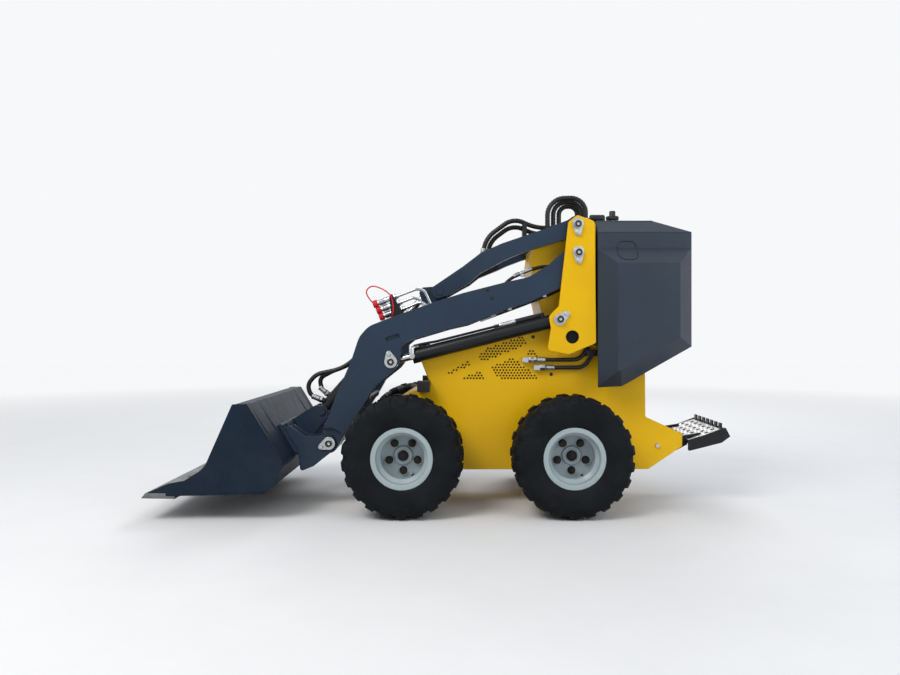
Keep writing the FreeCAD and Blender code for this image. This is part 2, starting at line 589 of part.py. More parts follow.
def boom():
    """Two cranked arms and the cross tubes that tie them."""
    rows = about(PIVOT, [(-18, 40, 30), (30, 38, 26), (42, -20, 26), (-20, -60, 30)]) + [
        (428.5, 865, 30), (308.5, 809, 0), (231.5, 788, 0), (77.5, 725, 0), (-7.5, 706, 0),
    ] + about(LIFT_EYE, [(66.5, 82, 30), (39.5, 60, 14), (39.5, 6, 10), (3.5, -42, 16)]) + [
        (-297.5, 479, 20), (-325.5, 429, 30),
    ] + about(HITCH, [(44, 6, 0), (14, -44, 26), (-30, -32, 26), (-38, 14, 12)]) + [
        (-449.5, 439, 0), (-388.5, 580, 120), (-357, 675, 90), (-320, 717, 90), (-233.5, 751, 90),
        (-61.5, 812, 0), (52.5, 848, 0), (209.5, 888, 30), (311.5, 911, 30), (390.5, 960, 30),
    ]
    arm = slab("arm_solid", rows, "Sizes.arm_width", "-(Sizes.arm_outer_y - Sizes.arm_width / 2)")
    near, far = -mm["arm_outer_y"] - 5, -mm["arm_outer_y"] + mm["arm_width"] + 5
    tools = [pin(c[0], c[1], near, far, pin_hole) for c in (PIVOT, HITCH)]
    low, high = -arm_middle_y - 17, -arm_middle_y + 17
    slot = doc.addObject("Part::Box", "slot")
    slot.Length, slot.Width, slot.Height = 150, high - low, 150
    slot.Placement = Placement(Vector(LIFT_EYE[0] - 48, low, LIFT_EYE[1] - 70), Rotation(Vector(0, 1, 0), 0))
    tools.append(slot)
    elbow = [(-249.9, 654.4, 9), (-194.5, 671.4, 9), (-200.1, 689.6, 9), (-255.5, 672.6, 9)]
    recess = [slab("elbow_recess", elbow, "20", "-Sizes.arm_outer_y"), pin(HITCH[0], HITCH[1], -mm["arm_outer_y"] - 2, -mm["arm_outer_y"] + 14, 62)]
    stubs = [pin(LIFT_EYE[0], LIFT_EYE[1], -mm["arm_outer_y"] - 3, low, "Sizes.pin_radius"),
             pin(LIFT_EYE[0], LIFT_EYE[1], high, -mm["arm_outer_y"] + mm["arm_width"] + 3, "Sizes.pin_radius")]
    outer = -mm["arm_outer_y"]
    stubs += keeper(LIFT_EYE, 103, outer - mm["keeper_sheet"], outer + 0.5)
    left = joined([less(arm, tools + recess)] + stubs)
    keep("boom_arm_left", left)
    keep("boom_arm_right", mirrored(left))
    reach = mm["arm_outer_y"] - mm["arm_width"] - 0.1
    down = Vector(HITCH[0] - LEVER[0], 0, HITCH[1] - LEVER[1])
    shin = Vector(LEVER[0], 0, LEVER[1]) + down * 0.68 + Vector(down.z, 0, -down.x).normalize() * 14
    tubes = [pin(x, z, -reach, reach, radius) for x, z, radius in (
        LEVER + ("Sizes.cross_tube_radius",), (120, 795, "Sizes.cross_tube_radius"), (shin.x, shin.z, 22))]
    keep("boom_cross_tubes", joined(tubes))
    foot = slab("coupler_foot", [(-236, 842, 0), (-190, 766, 0), (-190, 742, 0), (-232, 730, 0), (-244, 838, 0)], "18",
                "-(Sizes.arm_outer_y - Sizes.arm_width) + 9.1")
    seat, slope = Vector(-237, -150, 838), Vector(46, 0, -76).normalize()
    ahead = Vector(-math.cos(math.radians(19.5)), 0, -math.sin(math.radians(19.5)))
    plate = slab("coupler_plate", [(-240, 846, 0), (-232, 846, 0), (-186, 769, 0), (-194, 764, 0)], "72", "-148")
    holes = [rod(seat + slope * (6 + 29 * i) - ahead * 40, seat + slope * (6 + 29 * i) + ahead * 40,
                 10 + mm["stop_gap"]) for i in range(3)]
    keep("coupler_block", joined([foot, less(plate, holes)]))
    bodies, caps, pipes = [], [], []
    for i, reach in enumerate((63, 64, 68)):
        middle = seat + slope * (6 + 29 * i)
        bodies.append(rod(middle - ahead * 26, middle + ahead * reach, 10))
        bodies.append(rod(middle + ahead * 14, middle + ahead * (reach - 8), 12.5))
        caps.append(rod(middle + ahead * (reach + 0.3), middle + ahead * (reach + 20), 14))
    tops = [seat + slope * (6 + 29 * i) - ahead * 24 for i in range(3)]
    pipes.append(tube([tops[0], Vector(-110, -150, 880), Vector(-74, -150, 800)], 6))
    pipes.append(tube([tops[1], Vector(-130, -150, 842), Vector(-96, -150, 780)], 6))
    pipes.append(tube([tops[2], Vector(-120, -150, 817), Vector(-96, -170, 800)], 6))
    clip = box(-112, -76, -184.9, -140, 776, 808)
    keep("coupler_pipes", joined(bodies + pipes + [clip]))
    keep("coupler_caps", joined(caps))


def linkage():
    """Upper link, levelling lever, tilt cylinder and the hub that turns on the hitch pins."""
    rows = about(LINK_PIN, [(-36, 20, 26), (-8, 40, 26), (34, 26, 26), (36, -18, 26), (-4, -42, 26),
                            (-52, -58, 0)]) + [
        (316.5, 1019, 0), (250.5, 994, 0), (122.5, 934, 0), (81.5, 899, 30),
    ] + about(LINK_NOSE, [(36, -14, 20), (-20, -34, 20), (-40, 12, 20)]) + [
        (128.5, 1018, 0), (357.5, 1096, 30),
    ]
    link = slab("link_solid", rows, "464", "0")
    gap = [(60, 52, 0), (213, 190, 0), (700, 190, 0), (700, -190, 0), (213, -190, 0), (60, -52, 0),
           (-300, -52, 0), (-300, 52, 0)]
    pocket(link, "XY_Plane", "link_gap", gap)
    for sign in (-1, 1):
        flank = [(52, sign * 92, 0), (205, sign * 230, 0), (205, sign * 400, 0), (-300, sign * 400, 0),
                 (-300, sign * 92, 0)]
        pocket(link, "XY_Plane", "link_flank", flank if sign < 0 else flank[::-1])
    bars = [box(20, 50, -60, 60, 905, 935), box(118, 164, -140, 140, 985, 993), box(300, 318, -205, 205, 1058, 1066)]
    pin_far = [pin(LINK_PIN[0], LINK_PIN[1], sign * 210 - 30, sign * 210 + 30, pin_hole) for sign in (-1, 1)]
    nose = pin(LINK_NOSE[0], LINK_NOSE[1], -100, 100, pin_hole)
    keep("upper_link", less(joined([link] + bars), pin_far + [nose]))
    plates = []
    hub_hole = mm["cross_tube_radius"] + mm["pin_gap"]
    lever_rows = about(LEVER, [(40, -26, 22), (-24, -44, 22), (-52, 10, 20)]) + about(
        LEVER_TIP, [(-26, 0, 16), (-16, 24, 16)]) + about(LINK_NOSE, [(16, 26, 16), (26, 4, 16)])
    for y in (-40, 40):
        plates.append(slab("lever_plate", lever_rows, "14", str(y)))
    sleeve = pin(LEVER[0], LEVER[1], -46, 46, hub_hole + 9)
    tools = [pin(LEVER[0], LEVER[1], -60, 60, hub_hole)]
    pins = [pin(LINK_NOSE[0], LINK_NOSE[1], -94, 94, "Sizes.pin_radius"),
            pin(LEVER_TIP[0], LEVER_TIP[1], -50, 50, "Sizes.pin_radius")]
    keep("levelling_lever", joined([less(joined(plates + [sleeve]), tools)] + pins))
    along = Vector(LEVER_TIP[0] - TILT_EYE[0], 0, LEVER_TIP[1] - TILT_EYE[1])
    start = Vector(TILT_EYE[0], 0, TILT_EYE[1])
    cylinder("tilt", start, along, along.Length - mm["tilt_rod_shown"], mm["tilt_barrel_radius"],
             "Sizes.tilt_rod_radius", 20, 230, 120, 24)
    unit = Vector(along).normalize()
    out = Vector(-unit.z, 0, unit.x)
    gland, radius = along.Length - mm["tilt_rod_shown"], mm["tilt_barrel_radius"] + mm["stop_gap"]
    runs = []
    for y, rows in ((-14, ((36, 20), (14, 84), (40, 122), (96, 124), (200, 46), (404, 42))),
                    (14, ((62, 20), (62, 72), (90, 104), (146, 84), (215, 46), (404, 42)))):
        points = [start + unit * u + out * v + Vector(0, y, 0) for u, v in rows]
        runs.append(tube(points, mm["hose_radius"]))
        runs.append(rod(points[0], points[0] + (points[1] - points[0]).normalize() * 26, 12))
    clamp = [start + unit * u + out * v for u, v in ((gland - 38, 20), (gland - 16, 20), (gland - 16, 54), (gland - 38, 54))]
    runs.append(slab("tilt_hose_clamp", [(c.x, c.z, 0) for c in clamp], "52", "0"))
    core = [rod(start, start + unit * gland, radius), rod(start + unit * (gland - 30.3), start + unit * (gland + 1),
                                                          radius + 3)]
    keep("tilt_hoses", less(joined(runs), core))


def cylinder(name, foot, along, gland, barrel_radius, rod_radius, eye_half, bore, tail, eye_radius, piped=False):
    """A hydraulic cylinder: barrel with foot eye, and rod with rod eye, from its foot pin to its rod pin.

    bore is how deep the rod can go in past the gland, tail how much of the rod is inside at rest."""
    length = along.Length
    unit = Vector(along)
    unit.normalize()
    tip = foot + along
    side = Vector(0, 1, 0)
    body = rod(foot + unit * (eye_radius - 4), foot + unit * gland, barrel_radius)
    head = rod(foot + unit * (gland - 30), foot + unit * gland, barrel_radius + 3)
    eye = rod(foot - side * eye_half, foot + side * eye_half, eye_radius)
    hole = rod(foot - side * 60, foot + side * 60, pin_hole)
    hollow = rod(foot + unit * (gland - bore), foot + unit * (gland + 5), rod_radius + " + Sizes.pin_gap")
    out = Vector(-unit.z, 0, unit.x) * (-1 if unit.x < 0 else 1)
    solids = [body, head, eye]
    if piped:
        solids.append(rod(foot + unit * 60 + out * (barrel_radius - 4), foot + unit * 60 + out * (barrel_radius + 14), 9))
        front, back, high = foot + unit * (gland - 14), foot + unit * 74, barrel_radius + 11
        solids.append(rod(front + out * (barrel_radius - 4), front + out * (high + 1), 9))
        solids.append(tube([front + out * high, front + out * high - unit * 40, front + out * (high - 4) - unit * 80,
                            back + out * (high - 4)], 5))
        solids.append(rod(back + out * (high - 4) + unit * 16, back + out * (high - 4) - unit * 6, 8))
    keep(name + "_barrel", less(joined(solids), [hole, hollow]))
    shaft = rod(foot + unit * (gland - tail), tip - unit * (eye_radius - 4), rod_radius)
    rod_eye = rod(tip - side * 15, tip + side * 15, eye_radius)
    rod_hole = rod(tip - side * 60, tip + side * 60, pin_hole)
    keep(name + "_rod", less(joined([shaft, rod_eye]), [rod_hole]))


def lift_cylinders():
    for name, sign in SIDES:
        foot = Vector(LIFT_BASE[0], sign * arm_middle_y, LIFT_BASE[1])
        along = Vector(LIFT_EYE[0] - LIFT_BASE[0], 0, LIFT_EYE[1] - LIFT_BASE[1])
        cylinder("lift_" + name, foot, along, along.Length - mm["lift_rod_shown"], mm["barrel_radius"],
                 "Sizes.rod_radius", 24, 440, 360, 28, piped=True)


def hitch():
    """Levelled hub on the hitch pins, the tilting hitch frame, and the bucket it carries."""
    heel_low, heel_high, back_top = (-665.5, 103), (-600.5, 209), (-737.5, 429)
    rise = Vector(back_top[0] - heel_high[0], 0, back_top[1] - heel_high[1]).normalize()
    off = Vector(rise.z, 0, -rise.x)

    def on_back(along, away):
        """A point on the bucket's rear wall, as a distance up it from the heel and away from it."""
        return (heel_high[0] + rise.x * along + off.x * away, heel_high[1] + rise.z * along + off.z * away, 0)

    ear_rows = about(HITCH, [(14, 32, 24), (32, -8, 24), (10, -34, 20), (-60, -90, 20), (-112, -111, 10)])
    ear_rows += [on_back(0, 4), on_back(8, 0.3), on_back(125, 0.3)] + about(HITCH, [(-150, 66, 0), (-92, 26, 0)])
    shaft = []
    for name, sign in SIDES:
        low, high = sorted((sign * 172, sign * (mm["arm_outer_y"] - 1.6)))
        shaft.append(pin(HITCH[0], HITCH[1], low, high, "Sizes.pin_radius"))
        low, high = sorted((sign * 96, sign * 152))
        shaft.append(pin(HITCH[0], HITCH[1], low, high, 36))
    shaft.append(pin(HITCH[0], HITCH[1], -176, 176, 11))
    keep("hitch_shaft", joined(shaft))
    ears = []
    for name, sign in SIDES:
        for middle in (mm["arm_outer_y"] - 6, mm["arm_outer_y"] - mm["arm_width"] - 8):
            ears.append(slab("hitch_ear", ear_rows, "10", str(sign * middle)))
    back = [on_back(10, 0.3), on_back(140, 0.3), on_back(140, 12.3), on_back(10, 12.3)]
    plate = slab("hitch_plate", back, "500", "0")
    clevis_rows = about(HITCH, [(-92, 132, 18), (-42, 126, 18), (-40, 84, 18)]) + [on_back(20, 10), on_back(136, 10)]
    clevis = [slab("hitch_clevis", clevis_rows, "12", str(y)) for y in (-40, 40)]
    stubs = [pin(TILT_EYE[0], TILT_EYE[1], low, high, "Sizes.pin_radius") for low, high in ((-52, -24), (24, 52))]
    for name, sign in SIDES:
        low, high = sorted((sign * (mm["arm_outer_y"] - 1.1), sign * (mm["arm_outer_y"] + 5)))
        stubs += keeper(HITCH, 203, low, high)
    tools = [pin(HITCH[0], HITCH[1], -300, 300, pin_hole)]
    keep("hitch_frame", joined([less(joined(ears + [plate] + clevis), tools)] + stubs))
    wall = mm["bucket_sheet"]
    front_low = (-1033.5, 94)
    shell_rows = [
        front_low + (0,), (-851.5, 97, 0), heel_low + (40,), heel_high + (40,), back_top + (0,),
        (-775, 431, 0), (-775, 423, 0), (back_top[0] - 6, back_top[1] - 8, 0),
        (heel_high[0] - 9, heel_high[1] - 1, 32), (heel_low[0] - 4, heel_low[1] + wall, 32),
        (-851.5, 97 + wall, 0), (front_low[0], front_low[1] + wall, 0),
    ]
    shell = slab("bucket_shell", shell_rows, "2 * Sizes.bucket_half", "0")
    side_rows = [(-1106, 104.8, 0), (-1026.5, 139, 0), (-966.5, 150, 0), (-907.5, 187, 20), (-888.5, 209, 20),
                 (-832.5, 336, 0), (-791.5, 429, 6), (-737.5, 431, 0), (-600.5, 209, 40), (-665.5, 103, 40),
                 (-851.5, 97, 0), front_low + (0,), (-1033.5, 104.8, 0)]
    cheeks = [slab("bucket_side", side_rows, "Sizes.bucket_sheet",
                   "%d * (Sizes.bucket_half - Sizes.bucket_sheet / 2)" % sign) for name, sign in SIDES]
    gussets = []
    for share in (-0.92, -0.66, 0.66, 0.92):
        rows = [(-760, 428, 0), (-738, 430, 0), (-668, 322, 0), (-682, 318, 0)]
        gussets.append(slab("bucket_rib", rows, "8", "%g * Sizes.bucket_half" % share))
    keep("bucket", joined([shell] + cheeks + gussets))
    edge = [(-1123.5, 86, 0), (-1108.5, 104.5, 0), (-1034, 104.5, 0), (-1034, 93, 0), (-1000, 93, 0), (-1000, 84, 0)]
    keep("cutting_edge", slab("edge_solid", edge, "2 * Sizes.bucket_half", "0"))


def platform():
    """Fold-up operator platform on two hinge arms."""
    slope = 0.3
    floor = slab("step_floor", about(STEP_PIN, [(118, 18 + slope * 6, 0), (262, 18 + slope * 150, 0),
                                                (261, 23 + slope * 150, 0), (118, 23 + slope * 6, 0)]),
                 "2 * Sizes.step_half", "0")
    slots = []
    for row in range(4):
        for step in range(7 - row % 2):
            x, y = STEP_PIN[0] + 128 + 33 * row, -159 + 53 * step + 26.5 * (row % 2)
            slots.append(box(x, x + 16, y - 11, y + 11, STEP_PIN[1] - 10, STEP_PIN[1] + 90))
    floor = less(floor, slots)
    teeth = [box(STEP_PIN[0] + 256, STEP_PIN[0] + 262, y - 14, y + 14, STEP_PIN[1] + 60, STEP_PIN[1] + 90)
             for y in range(-156, 157, 52)]
    tongue = slab("step_tongue", about(STEP_PIN, [(40, -42, 8), (52, -8, 0), (124, 20 + slope * 6, 0),
                                                  (124, 2, 0)]), "2 * (Sizes.side_outer_y - Sizes.side_sheet - 5)", "0")
    rim_rows = about(STEP_PIN, [(118, -20, 6), (118, 20, 0), (268, 76, 8), (287.1, 39.1, 6), (253.1, 14.1, 6)])
    rims = [slab("step_rim", rim_rows, "Sizes.step_sheet",
                 "%d * (Sizes.step_half - Sizes.step_sheet / 2)" % sign) for name, sign in SIDES]
    lip_rows = about(STEP_PIN, [(250, 60, 0), (268, 76, 4), (287.1, 39.1, 0), (281, 37, 0), (266, 66, 0), (253, 55, 0)])
    lip = slab("step_lip", lip_rows, "2 * Sizes.step_half", "0")
    arm_rows = about(STEP_PIN, [(-18, 14, 10), (14, 22, 10), (104, 38, 0), (180, 50, 0), (180, 20, 0), (10, -20, 14),
                                (-18, -14, 10)])
    arms = [slab("step_arm", arm_rows, "10", str(sign * 152)) for name, sign in SIDES]
    tools = [pin(STEP_PIN[0], STEP_PIN[1], -300, 300, "Sizes.pin_radius / 2 + Sizes.pin_gap")]
    keep("platform", less(joined([floor, tongue, lip] + teeth + rims + arms), tools))
    pivots = []
    for name, sign in SIDES:
        low, high = sorted((sign * 140, sign * (mm["side_outer_y"] + 8)))
        pivots.append(pin(STEP_PIN[0], STEP_PIN[1], low, high, "Sizes.pin_radius / 2"))
    keep("platform_pins", joined(pivots))


def hoses():
    """Hoses over the boom's pivot, clamped to the upper link in front and to the firewall behind it."""
    tubes = []
    for y, rise in ((-72, 0), (-48, 1)):
        drop = 24 * rise
        tubes.append(tube([Vector(130 + 20 * rise, y, 998), Vector(150 + 18 * rise, y, 1088 - drop / 2),
                           Vector(262, y, 1170 - drop), Vector(352, y, 1130 - drop), Vector(440, y, 1128 - drop)],
                          mm["hose_radius"]))
        tubes.append(rod(Vector(130 + 20 * rise, y, 993.3), Vector(130 + 20 * rise, y, 1014), 12))
    saddle = box(300, 318, -82, -38, 1066.3, 1146)
    keep("link_hoses", joined(tubes + [saddle]))
    loops = []
    for y, forward, top, down in ((-148, 396, 1238, 551), (-124, 422, 1226, 538), (-100, 448, 1212, 524)):
        loops.append(tube([Vector(forward, y, 1048), Vector(forward, y, top), Vector(down, y, top + 2),
                           Vector(down, y, 1106)], mm["hose_radius"]))
        loops.append(rod(Vector(forward, y, 1040.3), Vector(forward, y, 1064), 12))
        loops.append(rod(Vector(down, y, 1100), Vector(down, y, 1124), 12))
    for y, drop in ((-72, 0), (-48, 24)):
        loops.append(rod(Vector(500, y, 1128 - drop), Vector(552, y, 1128 - drop), "Sizes.hose_radius"))
        loops.append(rod(Vector(540, y, 1128 - drop), Vector(563.7, y, 1128 - drop), 12))
    loops += [box(538, 563.7, -88, -32, 1086, 1142), box(508, 563.7, -151, -86, 1086, 1110)]
    keep("tower_hoses", joined(loops))
    rail = box(384, 462, -163.8, 163.8, 1032, 1040)
    keep("hose_rail", rail)
    outside = -mm["side_outer_y"] - mm["stop_gap"]
    pipes, lines = [], []
    for x0, x1, z, far in ((302, 348, 583, 556), (348, 384, 552, 572)):
        y = outside - 14
        pipes.append(box(x0 - 12, x0 + 12, outside - 24, outside, z - 10, z + 10))
        pipes.append(rod(Vector(x0, y, z), Vector(x1, y, z), 8))
        lines.append(tube([Vector(x1 + 0.3, y, z), Vector(far - 34, y, z), Vector(far, y, z + 52)],
                          mm["thin_hose_radius"]))
    keep("side_pipes", both_sides(joined(pipes)))
    block = box(546, 590, outside - 26, outside, 598, 622)
    keep("side_hoses", both_sides(joined(lines + [block])))


def stops():
    rubber = box(-128.9, -80, -235, -172.1, 457, 499)
    keep("boom_stops", both_sides(rubber))


side_plates()
chassis()
towers()
hood()
wheels()
boom()
linkage()
lift_cylinders()
hitch()
platform()
stops()
hoses()

doc.recompute()
for made in doc.Objects:
    if "Invalid" in made.State or "Error" in made.State:
        raise SystemExit("%s failed: %s" % (made.Label, made.State))
for made in nodes:
    if made.Shape.isNull() or not made.Shape.isValid():
        raise SystemExit("%s has no valid shape" % made.Label)
os.makedirs("parts", exist_ok=True)
for made in nodes:
    made.Shape.exportStep("parts/%s.step" % made.Label)
    print(made.Label, len(made.Shape.Solids), round(made.Shape.Volume / 1e6, 3))
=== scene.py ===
import json
import math
import bmesh
import bpy
import numpy as np
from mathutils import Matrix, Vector


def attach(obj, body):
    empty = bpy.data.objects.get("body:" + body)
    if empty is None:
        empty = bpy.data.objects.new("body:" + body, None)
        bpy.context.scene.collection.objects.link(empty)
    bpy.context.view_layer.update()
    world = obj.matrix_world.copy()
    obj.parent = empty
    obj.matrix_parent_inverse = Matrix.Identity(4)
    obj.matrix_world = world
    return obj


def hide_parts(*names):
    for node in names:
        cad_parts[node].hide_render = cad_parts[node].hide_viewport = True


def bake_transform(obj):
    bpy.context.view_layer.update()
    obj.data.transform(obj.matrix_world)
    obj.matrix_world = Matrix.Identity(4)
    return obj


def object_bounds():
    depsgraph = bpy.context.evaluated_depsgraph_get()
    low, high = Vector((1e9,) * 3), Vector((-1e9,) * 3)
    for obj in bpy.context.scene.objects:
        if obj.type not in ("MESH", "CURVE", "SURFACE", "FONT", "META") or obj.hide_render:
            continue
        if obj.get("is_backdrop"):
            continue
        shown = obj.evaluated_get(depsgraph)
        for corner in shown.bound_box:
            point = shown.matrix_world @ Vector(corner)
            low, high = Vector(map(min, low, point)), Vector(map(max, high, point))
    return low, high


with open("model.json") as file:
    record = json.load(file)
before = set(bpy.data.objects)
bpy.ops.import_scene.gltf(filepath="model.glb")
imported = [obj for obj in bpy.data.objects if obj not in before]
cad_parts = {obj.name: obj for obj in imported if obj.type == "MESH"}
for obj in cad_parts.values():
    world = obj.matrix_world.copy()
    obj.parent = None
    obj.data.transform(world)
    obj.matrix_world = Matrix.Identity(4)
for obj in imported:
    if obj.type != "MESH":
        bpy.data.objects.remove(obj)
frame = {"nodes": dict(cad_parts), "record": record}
nodes = frame["nodes"]
boxAtLoad = [list(corner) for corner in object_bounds()]
scene = bpy.context.scene

# camera and lamps

cameraSet = {"place": (0.0485, -3.156, 0.6825), "lens": 29.6, "sensor": 36,
             "shiftX": -0.01333, "shiftY": -0.00278}
camera = bpy.data.cameras.new("camera")
camera.lens, camera.sensor_width = cameraSet["lens"], cameraSet["sensor"]
camera.shift_x, camera.shift_y = cameraSet["shiftX"], cameraSet["shiftY"]
cameraObject = bpy.data.objects.new("camera", camera)
cameraObject.location = cameraSet["place"]
cameraObject.rotation_euler = (math.radians(90), 0, 0)
scene.collection.objects.link(cameraObject)
scene.camera = cameraObject
scene.view_settings.view_transform = "Standard"

lampSet = (  # name, place, aimed at, size, watts, colour
    ("keyLamp", (-2.6, -3.6, 4.6), (0, 0, 0.5), 2.6, 210, (1.0, 0.97, 0.92)),
    ("fillLamp", (3.6, -3.4, 2.2), (0, 0, 0.6), 3.0, 70, (0.93, 0.96, 1.0)),
    ("backLamp", (1.0, 4.2, 3.8), (0, 0, 0.6), 3.0, 120, (1.0, 1.0, 1.0)),
)
for name, spot, aim, size, watts, colour in lampSet:
    lamp = bpy.data.lights.new(name, "AREA")
    lamp.size, lamp.energy, lamp.color = size, watts, colour
    lampObject = bpy.data.objects.new(name, lamp)
    lampObject.location = spot
    lampObject.rotation_euler = (Vector(aim) - Vector(spot)).to_track_quat("-Z", "Y").to_euler()
    scene.collection.objects.link(lampObject)
print("camera and lamps")

# shader helpers


def newGroup(name, inputs, outputs):  # inputs are (name, default); a socket is a float unless its name is Normal
    group = bpy.data.node_groups.new(name, "ShaderNodeTree")
    for label, value in inputs:
        group.interface.new_socket(name=label, in_out="INPUT", socket_type="NodeSocketFloat").default_value = value
    for label in outputs:
        kind = "NodeSocketVector" if label == "Normal" else "NodeSocketFloat"
        group.interface.new_socket(name=label, in_out="OUTPUT", socket_type=kind)
    return group, group.nodes.new("NodeGroupInput"), group.nodes.new("NodeGroupOutput")


def setSocket(tree, socket, value):  # a link where the value is a socket, else a constant, a colour opaque
    if isinstance(value, bpy.types.NodeSocket):
        tree.links.new(value, socket)
    else:
        socket.default_value = value + (1,) if socket.type == "RGBA" and len(value) == 3 else value


def addNode(tree, kind, **settings):  # a setting is a property, or a socket by its name or number
    node = tree.nodes.new(kind)
    for key, value in settings.items():
        if hasattr(node, key):
            setattr(node, key, value)
        else:
            setSocket(tree, node.inputs[int(key[1:]) if key[0] == "i" and key[1:].isdigit() else key], value)
    return node


def maths(tree, what, first, second=0.0, third=0.0):
    return addNode(tree, "ShaderNodeMath", operation=what, i0=first, i1=second, i2=third).outputs[0]


def span(tree, value, low, high, start=0.0, end=1.0):  # value from low..high to start..end, held at both ends
    return addNode(tree, "ShaderNodeMapRange", i0=value, i1=low, i2=high, i3=start, i4=end).outputs[0]


def mixed(tree, share, first, second):  # a colour between two, by share
    return addNode(tree, "ShaderNodeMix", data_type="RGBA", i0=share, i6=first, i7=second).outputs[2]


def noise(tree, at, scale, detail=3.0, rough=0.55):
    return addNode(tree, "ShaderNodeTexNoise", Vector=at, Scale=scale, Detail=detail, Roughness=rough).outputs[0]


def objectCoord(tree):
    return addNode(tree, "ShaderNodeTexCoord").outputs["Object"]


def seenRays(tree):  # 1 for the rays that show the backdrop: the camera's, and those mirrored or let through
    path = addNode(tree, "ShaderNodeLightPath").outputs
    return maths(tree, "MAXIMUM", path["Is Camera Ray"],
                 maths(tree, "MAXIMUM", path["Is Glossy Ray"], path["Is Transmission Ray"]))


def mixShaders(tree, share, first, second, output):
    blend = addNode(tree, "ShaderNodeMixShader", Fac=share, i1=first, i2=second)
    tree.links.new(blend.outputs[0], output.inputs["Surface"])


# dome: a soft grey to pale blue ramp for light, one pale colour where the backdrop is seen

worldSet = {"dome": 0.62, "low": (0.34, 0.35, 0.36), "high": (0.86, 0.92, 1.0), "highAt": 0.55,
            "seen": (0.93, 0.94, 0.95)}
world = bpy.data.worlds.new("softDome")
scene.world = world
world.use_nodes = True
tree = world.node_tree
tree.nodes.clear()
split = addNode(tree, "ShaderNodeSeparateXYZ", i0=addNode(tree, "ShaderNodeTexCoord").outputs["Generated"])
ramp = addNode(tree, "ShaderNodeValToRGB", Fac=split.outputs["Z"])
low, high = ramp.color_ramp.elements
low.position, low.color = 0.0, worldSet["low"] + (1,)
high.position, high.color = worldSet["highAt"], worldSet["high"] + (1,)
dome = addNode(tree, "ShaderNodeBackground", Color=ramp.outputs["Color"], Strength=worldSet["dome"])
seen = addNode(tree, "ShaderNodeBackground", Color=worldSet["seen"])
mixShaders(tree, seenRays(tree), dome.outputs[0], seen.outputs[0], tree.nodes.new("ShaderNodeOutputWorld"))
print("dome")

# Edge mask: how far a normal rounded over Radius turns from the flat one, broken up by noise.
edgeGroup, taken, given = newGroup("edgeWear", (("Radius", 0.002), ("Break", 60.0)), ("Mask", "Normal"))
bevel = addNode(edgeGroup, "ShaderNodeBevel", samples=4, Radius=taken.outputs["Radius"])
flat = addNode(edgeGroup, "ShaderNodeNewGeometry")
turned = addNode(edgeGroup, "ShaderNodeVectorMath", operation="DOT_PRODUCT", i0=bevel.outputs[0],
                 i1=flat.outputs["True Normal"])
patchy = noise(edgeGroup, objectCoord(edgeGroup), taken.outputs["Break"], 4.0, 0.65)
bent = span(edgeGroup, turned.outputs["Value"], 0.995, 0.90)
edgeGroup.links.new(maths(edgeGroup, "MULTIPLY", bent, span(edgeGroup, patchy, 0.46, 0.62)), given.inputs["Mask"])
edgeGroup.links.new(bevel.outputs[0], given.inputs["Normal"])

# Dust mask: more on faces that look up and near the ground, in soft patches.
dustGroup, taken, given = newGroup("dustFall", (("Low", 0.0), ("High", 0.6), ("Amount", 0.5)), ("Mask",))
tree = dustGroup
facing = addNode(tree, "ShaderNodeSeparateXYZ", i0=addNode(tree, "ShaderNodeNewGeometry").outputs["Normal"])
coord = objectCoord(tree)
place = addNode(tree, "ShaderNodeSeparateXYZ", i0=coord)
up = span(tree, facing.outputs["Z"], 0.2, 1.0, 0.15, 1.0)
low = span(tree, place.outputs["Z"], taken.outputs["High"], taken.outputs["Low"])
patches = span(tree, noise(tree, coord, 7.0, 6.0, 0.7), 0.35, 0.75)
mask = maths(tree, "MULTIPLY", maths(tree, "MULTIPLY", patches, taken.outputs["Amount"]),
             maths(tree, "MAXIMUM", up, low))
tree.links.new(mask, given.inputs["Mask"])

# Orange peel of sprayed paint: two sizes of soft noise as a height.
peelGroup, taken, given = newGroup("orangePeel", (("Scale", 260.0),), ("Height",))
coord = objectCoord(peelGroup)
fine = addNode(peelGroup, "ShaderNodeTexNoise", Vector=coord, Scale=taken.outputs["Scale"], Detail=1.0)
coarse = addNode(peelGroup, "ShaderNodeTexNoise", Vector=coord, Scale=18.0, Detail=2.0)
peelGroup.links.new(maths(peelGroup, "MULTIPLY_ADD", coarse.outputs[0], 0.6, fine.outputs[0]),
                    given.inputs["Height"])
print("shared effects")


materials = {}


def startMaterial(name):
    materials[name] = bpy.data.materials.new(name)
    materials[name].use_nodes = True
    tree = materials[name].node_tree
    return tree, tree.nodes["Principled BSDF"], objectCoord(tree)


def useGroup(tree, group, **values):
    node = tree.nodes.new("ShaderNodeGroup")
    node.node_tree = group
    for key, value in values.items():
        node.inputs[key].default_value = value
    return node


